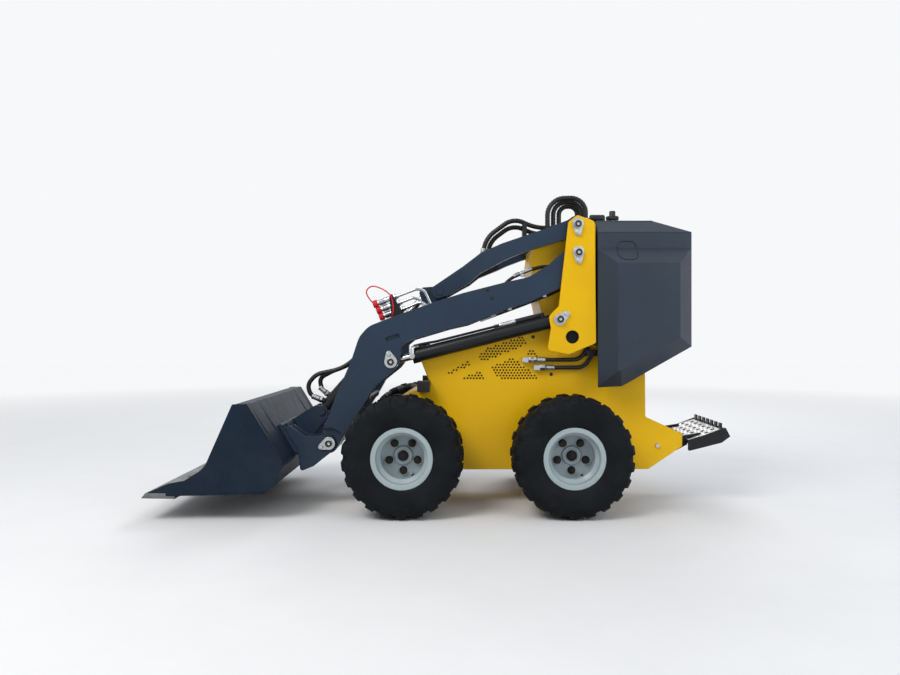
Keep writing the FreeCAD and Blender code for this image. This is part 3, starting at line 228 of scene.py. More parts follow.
paintSet = {  # two tones in linear light, roughness, specular level, coat, bare colour under wear, wear, dust
    "yellowPaint": {"tone": (0.77, 0.45, 0.002), "second": (0.71, 0.405, 0.0015), "rough": 0.36, "specular": 0.16,
                    "coat": 0.08, "bare": (0.30, 0.27, 0.22), "wear": 0.12, "dust": 0.05},
    "slatePaint": {"tone": (0.022, 0.039, 0.067), "second": (0.018, 0.032, 0.056), "rough": 0.36, "specular": 0.16,
                   "coat": 0.06, "bare": (0.10, 0.11, 0.125), "wear": 0.30, "dust": 0.05},
    "bucketPaint": {"tone": (0.0105, 0.0205, 0.037), "second": (0.008, 0.016, 0.029), "rough": 0.40, "specular": 0.06,
                    "coat": 0.02, "bare": (0.10, 0.11, 0.125), "wear": 0.35, "dust": 0.05},
    "podPaint": {"tone": (0.025, 0.037, 0.057), "second": (0.020, 0.031, 0.048), "rough": 0.38, "specular": 0.22,
                 "coat": 0.10, "bare": (0.13, 0.135, 0.145), "wear": 0.25, "dust": 0.08},
    "blackPaint": {"tone": (0.009, 0.0105, 0.013), "second": (0.006, 0.007, 0.009), "rough": 0.34, "specular": 0.20,
                   "coat": 0.08, "bare": (0.10, 0.10, 0.10), "wear": 0.25, "dust": 0.07},
    "rimPaint": {"tone": (0.34, 0.41, 0.43), "second": (0.30, 0.365, 0.385), "rough": 0.40, "specular": 0.35,
                 "coat": 0.08, "bare": (0.22, 0.20, 0.18), "wear": 0.20, "dust": 0.12},
}
dustColour = (0.21, 0.185, 0.155)


def feed(tree, shader, values):  # sockets of the shader by their names
    for key, value in values.items():
        setSocket(tree, shader.inputs[key], value)


def bumped(tree, strength, depth, height, **normal):
    return addNode(tree, "ShaderNodeBump", Strength=strength, Distance=depth, Height=height, **normal).outputs[0]


def dustMask(tree, low, high, amount):
    return useGroup(tree, dustGroup, Low=low, High=high, Amount=amount).outputs["Mask"]


def makePaint(name, look):
    tree, shader, coord = startMaterial(name)
    edge = useGroup(tree, edgeGroup, Radius=0.0022, Break=70.0)
    dust = dustMask(tree, 0.02, 0.75, look["dust"])
    peel = useGroup(tree, peelGroup, Scale=340.0)
    cloud = span(tree, noise(tree, coord, 4.5, 4.0), 0.3, 0.7)
    worn = maths(tree, "MULTIPLY", edge.outputs["Mask"], look["wear"])
    base = mixed(tree, worn, mixed(tree, cloud, look["tone"], look["second"]), look["bare"])
    dull = maths(tree, "MULTIPLY_ADD", dust, 0.4, look["rough"])
    smudge = span(tree, noise(tree, coord, 22.0, 5.0, 0.65), 0.3, 0.7, -0.05, 0.07)
    feed(tree, shader, {
        "Base Color": mixed(tree, dust, base, dustColour), "Roughness": maths(tree, "ADD", dull, smudge),
        "Coat Weight": look["coat"], "Coat Roughness": 0.12, "Specular IOR Level": look["specular"],
        "Normal": bumped(tree, 0.06, 0.0006, peel.outputs["Height"], Normal=edge.outputs["Normal"])})
    return tree, shader, coord


for name, look in paintSet.items():
    makePaint(name, look)

metalSet = {  # two tones, roughness low and high, scratch scale, bump, dirt
    "zincSteel": {"tone": (0.52, 0.55, 0.56), "second": (0.40, 0.42, 0.43), "rough": (0.30, 0.38),
                  "scratch": 60.0, "bump": 0.02, "dirt": 0.08},
    "chromeRod": {"tone": (0.44, 0.46, 0.48), "second": (0.38, 0.40, 0.42), "rough": (0.10, 0.14),
                  "scratch": 60.0, "bump": 0.008, "dirt": 0.03},
    "wornSteel": {"tone": (0.20, 0.21, 0.22), "second": (0.10, 0.095, 0.09), "rough": (0.30, 0.52),
                  "scratch": 40.0, "bump": 0.08, "dirt": 0.25},
    "darkIron": {"tone": (0.026, 0.025, 0.024), "second": (0.014, 0.013, 0.012), "rough": (0.38, 0.55),
                 "scratch": 60.0, "bump": 0.06, "dirt": 0.12},
    "engineIron": {"tone": (0.022, 0.022, 0.025), "second": (0.013, 0.013, 0.015), "rough": (0.45, 0.65),
                   "scratch": 50.0, "bump": 0.08, "dirt": 0.10},
}
for name, look in metalSet.items():
    tree, shader, coord = startMaterial(name)
    edge = useGroup(tree, edgeGroup, Radius=0.0012, Break=120.0)
    dust = dustMask(tree, 0.02, 0.8, look["dirt"])
    stretch = addNode(tree, "ShaderNodeMapping", Vector=coord, Scale=(1.0, 0.12, 1.0))
    streaks = noise(tree, stretch.outputs[0], look["scratch"], 5.0, 0.7)
    base = mixed(tree, span(tree, noise(tree, coord, 26.0, 4.0), 0.35, 0.7), look["tone"], look["second"])
    feed(tree, shader, {
        "Base Color": mixed(tree, dust, base, dustColour),
        "Roughness": span(tree, streaks, 0.3, 0.7, *look["rough"]),
        "Metallic": span(tree, dust, 0.0, 1.0, 1.0, 0.3),
        "Normal": bumped(tree, look["bump"], 0.0005, streaks, Normal=edge.outputs["Normal"])})

rubberSet = {  # tone, roughness, specular level, grain scale, bump, dust
    "tyreRubber": {"tone": (0.0042, 0.0056, 0.0072), "rough": 0.62, "specular": 0.08, "grain": 240.0,
                   "bump": 0.22, "dust": 0.022},
    "hoseRubber": {"tone": (0.008, 0.008, 0.009), "rough": 0.42, "specular": 0.30, "grain": 420.0,
                   "bump": 0.10, "dust": 0.06},
    "blackPlastic": {"tone": (0.012, 0.012, 0.014), "rough": 0.46, "specular": 0.32, "grain": 520.0,
                     "bump": 0.15, "dust": 0.08},
    "redPlastic": {"tone": (0.50, 0.010, 0.020), "rough": 0.40, "specular": 0.30, "grain": 300.0,
                   "bump": 0.06, "dust": 0.06},
    "padVinyl": {"tone": (0.015, 0.015, 0.017), "rough": 0.46, "specular": 0.35, "grain": 190.0,
                 "bump": 0.35, "dust": 0.06},
}
for name, look in rubberSet.items():
    tree, shader, coord = startMaterial(name)
    dust = dustMask(tree, 0.0, 0.5, look["dust"])
    grain = noise(tree, coord, look["grain"], 3.0, 0.6)
    paler = tuple(min(1, 1.5 * channel + 0.004) for channel in look["tone"])
    base = mixed(tree, span(tree, noise(tree, coord, 9.0, 5.0, 0.65), 0.35, 0.75), look["tone"], paler)
    feed(tree, shader, {
        "Base Color": mixed(tree, dust, base, dustColour),
        "Roughness": maths(tree, "MULTIPLY_ADD", dust, 0.25, look["rough"]),
        "Specular IOR Level": look["specular"], "Normal": bumped(tree, look["bump"], 0.0006, grain)})

# Tread plate: bright rolled steel, brighter on the raised drops and grimy in the low places.
treadSet = {"tone": (0.60, 0.61, 0.62), "low": (0.30, 0.29, 0.28), "rough": (0.28, 0.46), "grime": 0.35}
tree, shader, coord = startMaterial("brightTread")
dust = dustMask(tree, 0.0, 0.6, treadSet["grime"])
low = span(tree, noise(tree, coord, 40.0, 5.0, 0.65), 0.35, 0.7)
feed(tree, shader, {
    "Base Color": mixed(tree, dust, mixed(tree, low, treadSet["tone"], treadSet["low"]), dustColour),
    "Roughness": span(tree, noise(tree, coord, 110.0, 4.0, 0.7), 0.3, 0.7, *treadSet["rough"]),
    "Metallic": span(tree, dust, 0.0, 1.0, 0.95, 0.25)})

# Platform: black paint, with its sloping floor worn down to bright plate. Millimetres from the pin it folds on.
platformSet = {"pin": (836.4, 236.9), "slope": 0.3, "start": 112.0, "rise": 23.0, "half": 186.8,
               "dropLong": 9.0, "dropWide": 2.6, "dropHigh": 1.5}
pinX, pinZ = platformSet["pin"]
slope, floorStart = platformSet["slope"], pinX + platformSet["start"]
tree, shader, coord = makePaint("platformPaint", paintSet["blackPaint"])
place = addNode(tree, "ShaderNodeSeparateXYZ", i0=coord).outputs
facing = addNode(tree, "ShaderNodeSeparateXYZ", i0=addNode(tree, "ShaderNodeNewGeometry").outputs["Normal"])
level = maths(tree, "MULTIPLY_ADD", place["X"], -slope, place["Z"])
plane = 0.001 * (pinZ + platformSet["rise"] - slope * floorStart)
onFloor = 1.0
for what, value, limit in (
        ("LESS_THAN", maths(tree, "ABSOLUTE", maths(tree, "SUBTRACT", level, plane)), 0.006),
        ("LESS_THAN", maths(tree, "ABSOLUTE", place["Y"]), 0.001 * platformSet["half"]),
        ("GREATER_THAN", place["X"], 0.001 * (floorStart + 4)),
        ("GREATER_THAN", facing.outputs["Z"], 0.8)):
    onFloor = maths(tree, "MULTIPLY", onFloor, maths(tree, what, value, limit))
grime = span(tree, noise(tree, coord, 34.0, 5.0, 0.65), 0.35, 0.72)
painted = shader.inputs["Base Color"].links[0].from_socket
plate = mixed(tree, grime, treadSet["tone"], treadSet["low"])
feed(tree, shader, {"Base Color": mixed(tree, onFloor, painted, plate),
                    "Metallic": maths(tree, "MULTIPLY", onFloor, 0.9)})

# Gauge face: off-white card with a faint print grain, and the clear glass over it.
tree, shader, coord = startMaterial("gaugeFace")
printed = span(tree, noise(tree, coord, 300.0), 0.4, 0.6)
feed(tree, shader, {"Base Color": mixed(tree, printed, (0.62, 0.62, 0.60), (0.70, 0.70, 0.68)),
                    "Roughness": span(tree, noise(tree, coord, 60.0), 0.3, 0.7, 0.45, 0.6)})
tree, shader, coord = startMaterial("clearGlass")
feed(tree, shader, {"Transmission Weight": 1.0, "IOR": 1.45,
                    "Roughness": span(tree, noise(tree, coord, 30.0), 0.3, 0.7, 0.02, 0.09)})

slotMaterial = {"yellow_paint": "yellowPaint", "slate_paint": "slatePaint", "black_paint": "blackPaint",
                "rim_paint": "rimPaint", "zinc_steel": "zincSteel", "bright_rod": "chromeRod",
                "worn_steel": "wornSteel", "tyre_rubber": "tyreRubber", "black_rubber": "hoseRubber",
                "black_plastic": "blackPlastic", "engine_iron": "engineIron", "pad_vinyl": "padVinyl",
                "red_plastic": "redPlastic"}
materialSlot = {material: slot for slot, material in slotMaterial.items()}
materialSlot.update({"podPaint": "slate_paint", "bucketPaint": "slate_paint", "darkIron": "engine_iron",
                     "brightTread": "zinc_steel", "gaugeFace": "black_plastic"})
nodeMaterial = {"platform": "platformPaint", "bucket": "bucketPaint", "hood": "podPaint",
                "hood_skirts": "podPaint", "hood_pod_left": "podPaint", "hood_pod_right": "podPaint", "coupler_pipes": "chromeRod"}
for part in frame["record"]["subparts"]:
    mesh = nodes[part["node"]].data
    mesh.materials.clear()
    mesh.materials.append(materials[nodeMaterial.get(part["node"], slotMaterial[part["material_slot"]])])
print("materials on", len(nodes), "nodes")

# mesh helpers: a shape is (points, faces), in millimetres until makePiece turns it to metres


def unit(vectors):
    return vectors / np.linalg.norm(vectors, axis=-1, keepdims=True)


def lengths(path):  # how far along a path each of its points is
    return np.concatenate([[0], np.cumsum(np.linalg.norm(np.diff(path, axis=0), axis=1))])


def pointsAt(path, where):  # the points that lie at these lengths along a path
    return np.stack([np.interp(where, lengths(path), column) for column in path.T], axis=1)


def circle(angle, radius, centre):  # points at these angles on a circle that faces along Y
    return np.stack([radius * np.cos(angle), 0 * angle, radius * np.sin(angle)], axis=1) + centre


def gridShape(grid, wrapU=False, wrapV=False):  # quads between neighbours of an array of points (u, v, 3)
    rows, columns = grid.shape[:2]
    u = np.arange(rows if wrapU else rows - 1)[:, None]
    v = np.arange(columns if wrapV else columns - 1)[None, :]
    corner = lambda a, b: ((u + a) % rows) * columns + (v + b) % columns
    faces = np.stack([corner(0, 0), corner(1, 0), corner(1, 1), corner(0, 1)], axis=-1).reshape(-1, 4)
    return grid.reshape(-1, 3), faces


def lathe(rows, sides=32, turn=0.0):  # rows (radius, height) turned about Z: x = r cos a, y = r sin a, z = h
    rows = np.array(rows, float)
    angle = turn + np.arange(sides) * 2 * np.pi / sides
    grid = np.stack([rows[:, :1] * np.cos(angle), rows[:, :1] * np.sin(angle),
                     np.repeat(rows[:, 1:2], sides, axis=1)], axis=-1)
    return gridShape(grid, wrapV=True)


tip = 1e-4  # the radius of a ring that stands for a point on the axis; makePiece merges it


def solid(rows, sides=32, turn=0.0):  # a lathe that is closed on the axis, flat at both ends
    return lathe([(tip, rows[0][1]), *rows, (tip, rows[-1][1])], sides, turn)


def hexSolid(rows):  # the same with six sides
    return solid(rows, 6, math.pi / 6)


# Copies of a shape: its Z axis goes to each aim, turned by a spin about it, and its origin to each spot.
def moved(shape, spots, aims=(0, 0, 1), spins=0.0):
    points, faces = shape
    spots = np.atleast_2d(np.array(spots, float))
    count = len(spots)
    aims = unit(np.broadcast_to(np.array(aims, float), (count, 3)))
    spins = np.broadcast_to(np.array(spins, float), (count,))[:, None]
    helper = np.where(np.abs(aims[:, 1:2]) > 0.9, np.array([[0.0, 0.0, 1.0]]), np.array([[0.0, 1.0, 0.0]]))
    first = unit(np.cross(helper, aims))
    second = np.cross(aims, first)
    across = first * np.cos(spins) + second * np.sin(spins)
    up = second * np.cos(spins) - first * np.sin(spins)
    made = (points[None, :, :1] * across[:, None] + points[None, :, 1:2] * up[:, None]
            + points[None, :, 2:] * aims[:, None] + spots[:, None])
    shift = (np.arange(count) * len(points))[:, None, None]
    return made.reshape(-1, 3), (faces[None] + shift).reshape(-1, faces.shape[1])


def together(shapes):  # several shapes as one
    counts = np.cumsum([0] + [len(points) for points, _ in shapes[:-1]])
    return (np.concatenate([points for points, _ in shapes]),
            np.concatenate([faces + count for (_, faces), count in zip(shapes, counts)]))


def mirrored(shape):  # across the middle plane, with the faces turned to point outwards
    points, faces = shape
    return points * np.array([1, -1, 1]), faces[:, ::-1]


def frames(path):  # unit tangents of a path and two directions square to them
    along = unit(np.gradient(path, axis=0))
    side = np.array([0.0, 1.0, 0.0]) if np.abs(along[:, 1]).max() < 0.8 else np.array([0.31, 0.0, 0.95])
    first = unit(side - along * (along @ side)[:, None])
    return along, first, np.cross(along, first)


# A round profile carried along a path, closed at both ends: p + r (cos a * first + sin a * second).
def tubeShape(path, radius, sides=14):
    path = np.array(path, float)
    radius = np.broadcast_to(np.array(radius, float), (len(path),))
    along, first, second = frames(path)
    path = np.concatenate([path[:1], path, path[-1:]])
    radius = np.concatenate([[tip], radius, [tip]])
    first, second = (np.concatenate([a[:1], a, a[-1:]]) for a in (first, second))
    angle = np.arange(sides) * 2 * np.pi / sides
    ring = first[:, None] * np.cos(angle)[:, None] + second[:, None] * np.sin(angle)[:, None]
    return gridShape(path[:, None] + ring * radius[:, None, None], wrapV=True)


# Straight runs joined by tangent arcs, as the hose solids have, at even steps.
def hosePath(corners, step=3.0):
    corners = np.array(corners, float)
    points = [corners[:1]]
    for before, here, after in zip(corners, corners[1:], corners[2:]):
        back, ahead = before - here, after - here
        reach = 0.45 * min(np.linalg.norm(back), np.linalg.norm(ahead))
        back, ahead = unit(back), unit(ahead)
        opening = math.acos(np.clip(back @ ahead, -1, 1))
        bend, sweep = reach * math.tan(opening / 2), math.pi - opening
        middle = here + unit(back + ahead) * bend / math.sin(opening / 2)
        start, end = here + back * reach - middle, here + ahead * reach - middle
        t = np.linspace(0, 1, max(4, int(bend * sweep / step)))[:, None]
        points.append(middle + (start * np.sin((1 - t) * sweep) + end * np.sin(t * sweep)) / math.sin(sweep))
    points = np.concatenate(points + [corners[-1:]])
    return pointsAt(points, np.arange(0, lengths(points)[-1], step))


def insetRows(low, high, edge):  # (inset, height) of a plate with bevelled edges, None for its closed middle
    return (None, low), (edge, low), (0, low + edge), (0, high - edge), (edge, high), (None, high)


# A flat plate of any convex outline (x, z), from y low to y high, with bevelled edges.
def roundedPlate(corners, low, high, edge=1.0):
    corners = np.array(corners, float)
    middle = corners.mean(axis=0)
    away = unit(corners - middle)
    rings = []
    for inset, y in insetRows(low, high, edge):
        flat = np.repeat(middle[None], len(corners), axis=0) if inset is None else corners - away * inset
        rings.append(np.stack([flat[:, 0], np.full(len(corners), float(y)), flat[:, 1]], axis=1))
    return gridShape(np.stack(rings), wrapV=True)


# A box with bevelled edges, as a bevelled rectangle carried upwards.
def block(x0, x1, y0, y1, z0, z1, edge=1.5):
    rings = []
    for inset, z in insetRows(z0, z1, edge):
        if inset is None:
            ring = np.repeat([[(x0 + x1) / 2, (y0 + y1) / 2]], 8, axis=0)
        else:
            a, b, c, d, e = x0 + inset, x1 - inset, y0 + inset, y1 - inset, edge
            ring = np.array([(a + e, c), (b - e, c), (b, c + e), (b, d - e),
                             (b - e, d), (a + e, d), (a, d - e), (a, c + e)])
        rings.append(np.concatenate([ring, np.full((8, 1), float(z))], axis=1))
    return gridShape(np.stack(rings), wrapV=True)


def meshOf(name, shape, merge, turnOut=True):  # in metres, with the doubled points merged
    points, faces = shape
    mesh = bpy.data.meshes.new(name)
    mesh.from_pydata((points * 0.001).tolist(), [], faces.tolist())
    work = bmesh.new()
    work.from_mesh(mesh)
    bmesh.ops.remove_doubles(work, verts=work.verts, dist=merge)
    bmesh.ops.dissolve_degenerate(work, edges=work.edges, dist=1e-6)
    if turnOut:
        bmesh.ops.recalc_face_normals(work, faces=work.faces)
    work.to_mesh(mesh)
    work.free()
    return mesh


def placeObject(name, data):
    made = bpy.data.objects.new(name, data)
    scene.collection.objects.link(made)
    return made


# A piece of one shape or a list of them, with its mirror image where both sides have it. A slot that isn't
# given is taken from its material, but the slot is not used.
def makePiece(name, shape, material, body="chassis", slot=None, both=False, smooth=38, turnOut=True):
    shape = together(shape) if isinstance(shape, list) else shape
    mesh = meshOf(name, together([shape, mirrored(shape)]) if both else shape, 2e-6, turnOut)
    mesh.shade_smooth()
    mesh.set_sharp_from_angle(angle=math.radians(smooth))
    mesh.materials.append(materials[material])
    piece = placeObject(name, mesh)
    slot = slot or materialSlot.get(material)
    if body:
        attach(piece, body)
    return piece


# tyres and wheel fittings

tyreSet = {"radius": 228.5, "half": 107.5, "depth": 6.5, "lugs": 22, "around": 176, "bead": 101.2, "rows": 54,
           "axles": {"front": -172.8, "rear": 461.6}, "track": 356.5}


def smoothed(points, rounds=3):  # corner cutting: each round puts points at a quarter and three quarters of each run
    points = np.array(points, float)
    for _ in range(rounds):
        a, b = points[:-1], points[1:]
        inner = np.stack([a * 0.75 + b * 0.25, a * 0.25 + b * 0.75], axis=1).reshape(-1, points.shape[1])
        points = np.concatenate([points[:1], inner, points[-1:]])
    return points


# Carcass: a section (radius, y) turned about the axle, with raised rings on the sidewall.
def carcass(look, crown):
    bead = look["bead"]
    side = smoothed([(crown, 0), (crown, 30), (crown - 1, 58), (crown - 5, 80), (crown - 15, 97), (crown - 32, 105),
                     (168, 107.4), (150, 107.2), (133, 102.5), (121, 97.5), (116.5, 95.6), (113, 92.4),
                     (107, 89.5), (101.5, 88.8), (bead, 84), (bead, 66)])
    side = pointsAt(side, np.linspace(0, lengths(side)[-1], look["rows"]))
    bulge = np.zeros(len(side))
    for ring, high, wide in ((191, 1.1, 1.6), (184, 0.8, 1.2), (141, 0.9, 1.3), (128, 1.4, 2.2)):
        bulge += high * np.exp(-((side[:, 0] - ring) / wide) ** 2) * (side[:, 1] > 90)
    along = unit(np.gradient(side, axis=0))
    side = side + np.stack([along[:, 1], -along[:, 0]], axis=1) * bulge[:, None]
    side[:, 1] = np.minimum(side[:, 1], look["half"])
    inner = np.array([(bead, 63), (150, 84), (178, 84), (192, 60), (193, 0)])
    section = np.concatenate([side, inner])
    section = np.concatenate([section[:-1], (section * [1, -1])[::-1][:-1]])
    angle = np.arange(look["around"]) * 2 * np.pi / look["around"]
    grid = np.stack([section[:, :1] * np.cos(angle), np.repeat(section[:, 1:], len(angle), axis=1),
                     section[:, :1] * np.sin(angle)], axis=-1)
    return gridShape(grid, wrapU=True, wrapV=True)


# Lugs: a line (radius, y) over the carcass raised by the lug height along its outward direction, and carried
# across a rounded bar (aside, height) that slants with y. Every second one is lower on the shoulder.
def lugShapes(look, crown):
    line = np.array([(crown + 0.2, 7), (crown, 22), (crown, 40), (crown - 0.6, 60), (crown - 4, 78),
                     (crown - 12, 93), (crown - 20, 99.5), (crown - 26, 102.6), (crown - 30, 104.2)])
    lift = np.array([0.97, 1, 1, 1.02, 1.12, 0.8, 0.4, 0.18, -0.12]) * look["depth"]
    out = unit(np.array([(1, 0), (1, 0), (1, 0), (1, 0.08), (0.94, 0.34), (0.72, 0.7), (0.35, 0.94), (0.12, 1),
                         (0.1, 1)]))
    slant = np.interp(line[:, 1], [7, 60, 110], [13.0, 2.0, 0.0])
    width = np.interp(line[:, 1], [7, 50, 95, 106], [20, 29, 36, 31])
    bar = np.array([(-1.16, -0.25), (-1.0, 0.72), (-0.88, 1.0), (0.0, 1.02), (0.88, 1.0), (1.0, 0.72),
                    (1.16, -0.25)])
    sunk = np.array([0.97, 1, 0.97])
    shapes = []
    for sign in (-1, 1):
        for odd in (0, 1):
            height = lift * (np.interp(np.arange(9), [0, 5, 6, 8], [1, 1, 0.55, 0.0]) if odd else 1)
            raised = line[:, None] + out[:, None] * (height[:, None] * bar[None, :, 1])[..., None]
            aside = slant[:, None] + width[:, None] / 2 * bar[None, :, 0]
            radius = np.minimum(np.hypot(raised[..., 0], aside), look["radius"] - 0.05)
            y = sign * np.minimum(raised[..., 1], look["half"])
            places = (np.arange(odd, look["lugs"], 2) + (0.5 if sign > 0 else 0.0)) * 2 * np.pi / look["lugs"]
            turn = np.arctan2(aside, raised[..., 0])[None] + places[:, None, None]
            lug = np.stack([radius * np.sin(turn), np.broadcast_to(y, turn.shape), radius * np.cos(turn)], axis=-1)
            closing = np.broadcast_to(lug.mean(axis=2, keepdims=True), lug.shape)
            foot = lug[:, :1, [0, 0, 0, 3, 6, 6, 6]]
            capped = np.concatenate([closing[:, :1] * sunk, foot * sunk, lug, closing[:, -1:]], axis=1)
            shapes += [gridShape(one) for one in capped]
    return shapes


wheelSet = {"bolts": 5, "boltRing": 56.0, "valveAngle": -63, "valveRing": 80.0}
hexNut = hexSolid([(13.6, 0), (13.6, 14), (12.2, 16), (8.4, 16.4)])
roundWasher = solid([(15.2, 0), (15.2, 1.6), (14.6, 2.2)], 28)
studEnd = solid([(6, 0), (6, 5), (5.2, 6.2)], 20)
castle = hexSolid([(20.2, 0), (20.2, 9), (18.6, 10.6), (14.4, 10.8), (13.8, 11.2), (13.8, 14.6), (12.6, 15.6),
                   (9.4, 15.8)])
valveCap = solid([(5.2, 0), (5.2, 10), (4.6, 11.4), (3.2, 12)], 14)
boltAngles = np.radians(360 / wheelSet["bolts"] * np.arange(wheelSet["bolts"]) - 90)

crown = tyreSet["radius"] - tyreSet["depth"]
tyre = together([carcass(tyreSet, crown)] + lugShapes(tyreSet, crown))
for axle, x in tyreSet["axles"].items():
    for sideName, sign in (("left", -1), ("right", 1)):
        body = "wheel_%s_%s" % (axle, sideName)
        centre, outward = np.array([x, sign * tyreSet["track"], tyreSet["radius"]]), (0, sign, 0)
        points, faces = tyre if sign < 0 else mirrored(tyre)
        made = makePiece("tyre_detail_%s_%s" % (axle, sideName), (points + centre, faces),
                         "tyreRubber", body, smooth=32)
        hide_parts("tyre_%s_%s" % (axle, sideName))
        ring = circle(boltAngles, wheelSet["boltRing"], centre)
        nuts = [moved(roundWasher, ring + [0, sign * 4.1, 0], outward),
                moved(hexNut, ring + [0, sign * 6.3, 0], outward, boltAngles + 0.3)]
        makePiece("wheel_nuts_%s_%s" % (axle, sideName), nuts, "darkIron", body)
        studs = moved(studEnd, ring + [0, sign * 19.6, 0], outward)
        makePiece("wheel_studs_%s_%s" % (axle, sideName), studs, "darkIron", body)
        valve = circle(np.radians([wheelSet["valveAngle"]]), wheelSet["valveRing"], centre) + [0, sign * 19.0, 0]
        makePiece("valve_cap_%s_%s" % (axle, sideName), moved(valveCap, valve, outward), "blackPlastic", body)
        makePiece("axle_nut_%s_%s" % (axle, sideName), moved(castle, centre + [0, sign * 16.2, 0], outward),
                  "engineIron")
print("tyres and wheel fittings")

# Hydraulic hoses: crimped ends, spiral guards and the two straight hoses at the upper link's pin

hoseSet = {"radius": 9.5, "guardPitch": 11.0, "guardWide": 2.6, "pairY": (-72, -48), "pairZ": (1128, 1104)}
towerRuns = [[(forward, y, 1048), (forward, y, top), (down, y, top + 2), (down, y, 1106)]
             for y, forward, top, down in ((-148, 396, 1238, 551), (-124, 422, 1226, 538), (-100, 448, 1212, 524))]
linkRuns = [[(130, -72, 998), (150, -72, 1088), (262, -72, 1170), (352, -72, 1130), (440, -72, 1128)],
            [(150, -48, 998), (168, -48, 1076), (262, -48, 1146), (352, -48, 1106), (440, -48, 1104)]]
tiltFoot, tiltTip = np.array([-541.5, 0, 362.0]), np.array([-106.0, 0, 858.0])
tiltUnit = unit(tiltTip - tiltFoot)
tiltOut = np.array([-tiltUnit[2], 0, tiltUnit[0]])
tiltRuns = [[tiltFoot + tiltUnit * u + tiltOut * v + [0, y, 0] for u, v in rows] for y, rows in (
    (-14, ((36, 20), (14, 84), (40, 122), (96, 124), (200, 46), (404, 42))),
    (14, ((62, 20), (62, 72), (90, 104), (146, 84), (215, 46), (404, 42))))]


# Guard: a flat strip wound round a hose, its middle line p + R (cos(2 pi s / pitch) a + sin(2 pi s / pitch) b).
def guard(path, look, skipStart, skipEnd):
    pitch = look["guardPitch"]
    s = np.arange(skipStart, lengths(path)[-1] - skipEnd, pitch / 14)
    centre = pointsAt(path, s)
    along, first, second = frames(centre)
    turn = (2 * np.pi * s / pitch)[:, None]
    out = first * np.cos(turn) + second * np.sin(turn)
    rows = [centre + out * (look["radius"] + high) + along * (look["guardWide"] * shift)
            for high, shift in ((-0.8, -0.5), (0.9, -0.42), (1.15, 0.0), (0.9, 0.42), (-0.8, 0.5))]
    return gridShape(np.stack(rows, axis=1))


# Crimped ends at (spot, direction into the hose): a collar with three pressed grooves, and a hexagon.
def crimps(radius, ends):
    r = radius + 3.4
    rows = [(r - 4, 11), (r - 4, 14), (r, 15)]
    for z in (19, 27, 35):
        rows += [(r, z), (r - 1.5, z + 1.2), (r - 1.5, z + 3.2), (r, z + 4.4)]
    rows += [(r, 45), (r - 1.2, 46.5), (radius + 0.6, 46.8), (radius - 1, 46.8)]
    hexagon = hexSolid([(r + 1.2, 0), (r + 2.2, 1), (r + 2.2, 10), (r + 1.2, 11)])
    spots, aims = np.array([end[0] for end in ends], float), np.array([end[1] for end in ends], float)
    return [moved(solid(rows, 26), spots, aims), moved(hexagon, spots, aims)]


def endOf(run, back, last=False):  # an end of a run, moved into the hose by back, and the direction into it
    a, b = np.array((run[-1], run[-2]) if last else (run[0], run[1]), float)
    return a + unit(b - a) * back, unit(b - a)


hoseRadius = hoseSet["radius"]
for name, body, runs, skips in (("tower", "chassis", towerRuns, (62, 66)),
                                ("link", "upper_link", linkRuns, (60, 110))):
    guards = [guard(hosePath(run), hoseSet, *skips) for run in runs]
    makePiece(name + "_hose_guards", guards, "blackPlastic", body, turnOut=False)
towerEnds = [endOf(run, -4) for run in towerRuns] + [endOf(run, 5, True) for run in towerRuns]
for name, body, ends in (("tower", "chassis", towerEnds),
                         ("link", "upper_link", [endOf(run, -1) for run in linkRuns]),
                         ("tilt", "tilt_barrel", [endOf(run, 12) for run in tiltRuns])):
    makePiece(name + "_hose_ends", crimps(hoseRadius, ends), "zincSteel", body)
bumper = [(x, -152, 1154.6) for x in (566, 568, 572, 621, 625, 627)]
makePiece("hood_bumper", tubeShape(bumper, [11.5, 14.6, 16.2, 16.2, 14.6, 11.5], 28), "hoseRubber")

flexSet = {"start": 512.0, "end": 424.0, "rings": 30, "radius": 9.9}
hosePairs = list(zip(hoseSet["pairY"], hoseSet["pairZ"]))
for k, (y, z) in enumerate(hosePairs):
    x = np.linspace(flexSet["start"], flexSet["end"], flexSet["rings"])
    line = np.stack([x, np.full(len(x), float(y)), np.full(len(x), float(z))], axis=1)
    hose = makePiece("pivot_hose_%d" % (k + 1), tubeShape(line, flexSet["radius"], 20), "hoseRubber", None)
    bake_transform(hose)
clampBand = lathe([(9.6, 0), (11.4, 0), (11.8, 0.5), (11.8, 8.5), (11.4, 9), (9.6, 9)], 28)
for name, body, x in (("pivot", "chassis", 541), ("link", "upper_link", 436)):
    clamps = moved(clampBand, [(x, y, z) for y, z in hosePairs], (-1, 0, 0))
    makePiece(name + "_hose_clamps", clamps, "zincSteel", body)

sideRuns = ((348, 583), (384, 552))  # (x, z) of the two hoses that leave the pipes along the chassis side
sideEnds = [((x - 12, -186.3, z), (1, 0, 0)) for x, z in sideRuns]
makePiece("side_hose_ends", crimps(8.0, sideEnds), "zincSteel", both=True)
pipeNut = hexSolid([(12.5, 0), (13.5, 1), (13.5, 12), (12.5, 13)])
makePiece("side_pipe_nuts", moved(pipeNut, [(314, -186.3, 583), (360, -186.3, 552)], (1, 0, 0)),
          "zincSteel", both=True)

# Lift cylinders: the pipe along the barrel with its nuts, and the elbow at the gland; right ones are mirrored
liftFoot, liftTip = np.array([433.1, -214.0, 744.4]), np.array([-232.0, -214.0, 576.7])
liftUnit = unit(liftTip - liftFoot)
liftPipe = liftFoot + np.array([liftUnit[2], 0, -liftUnit[0]]) * 34.5
elbow = (-147.6, -250, 600)


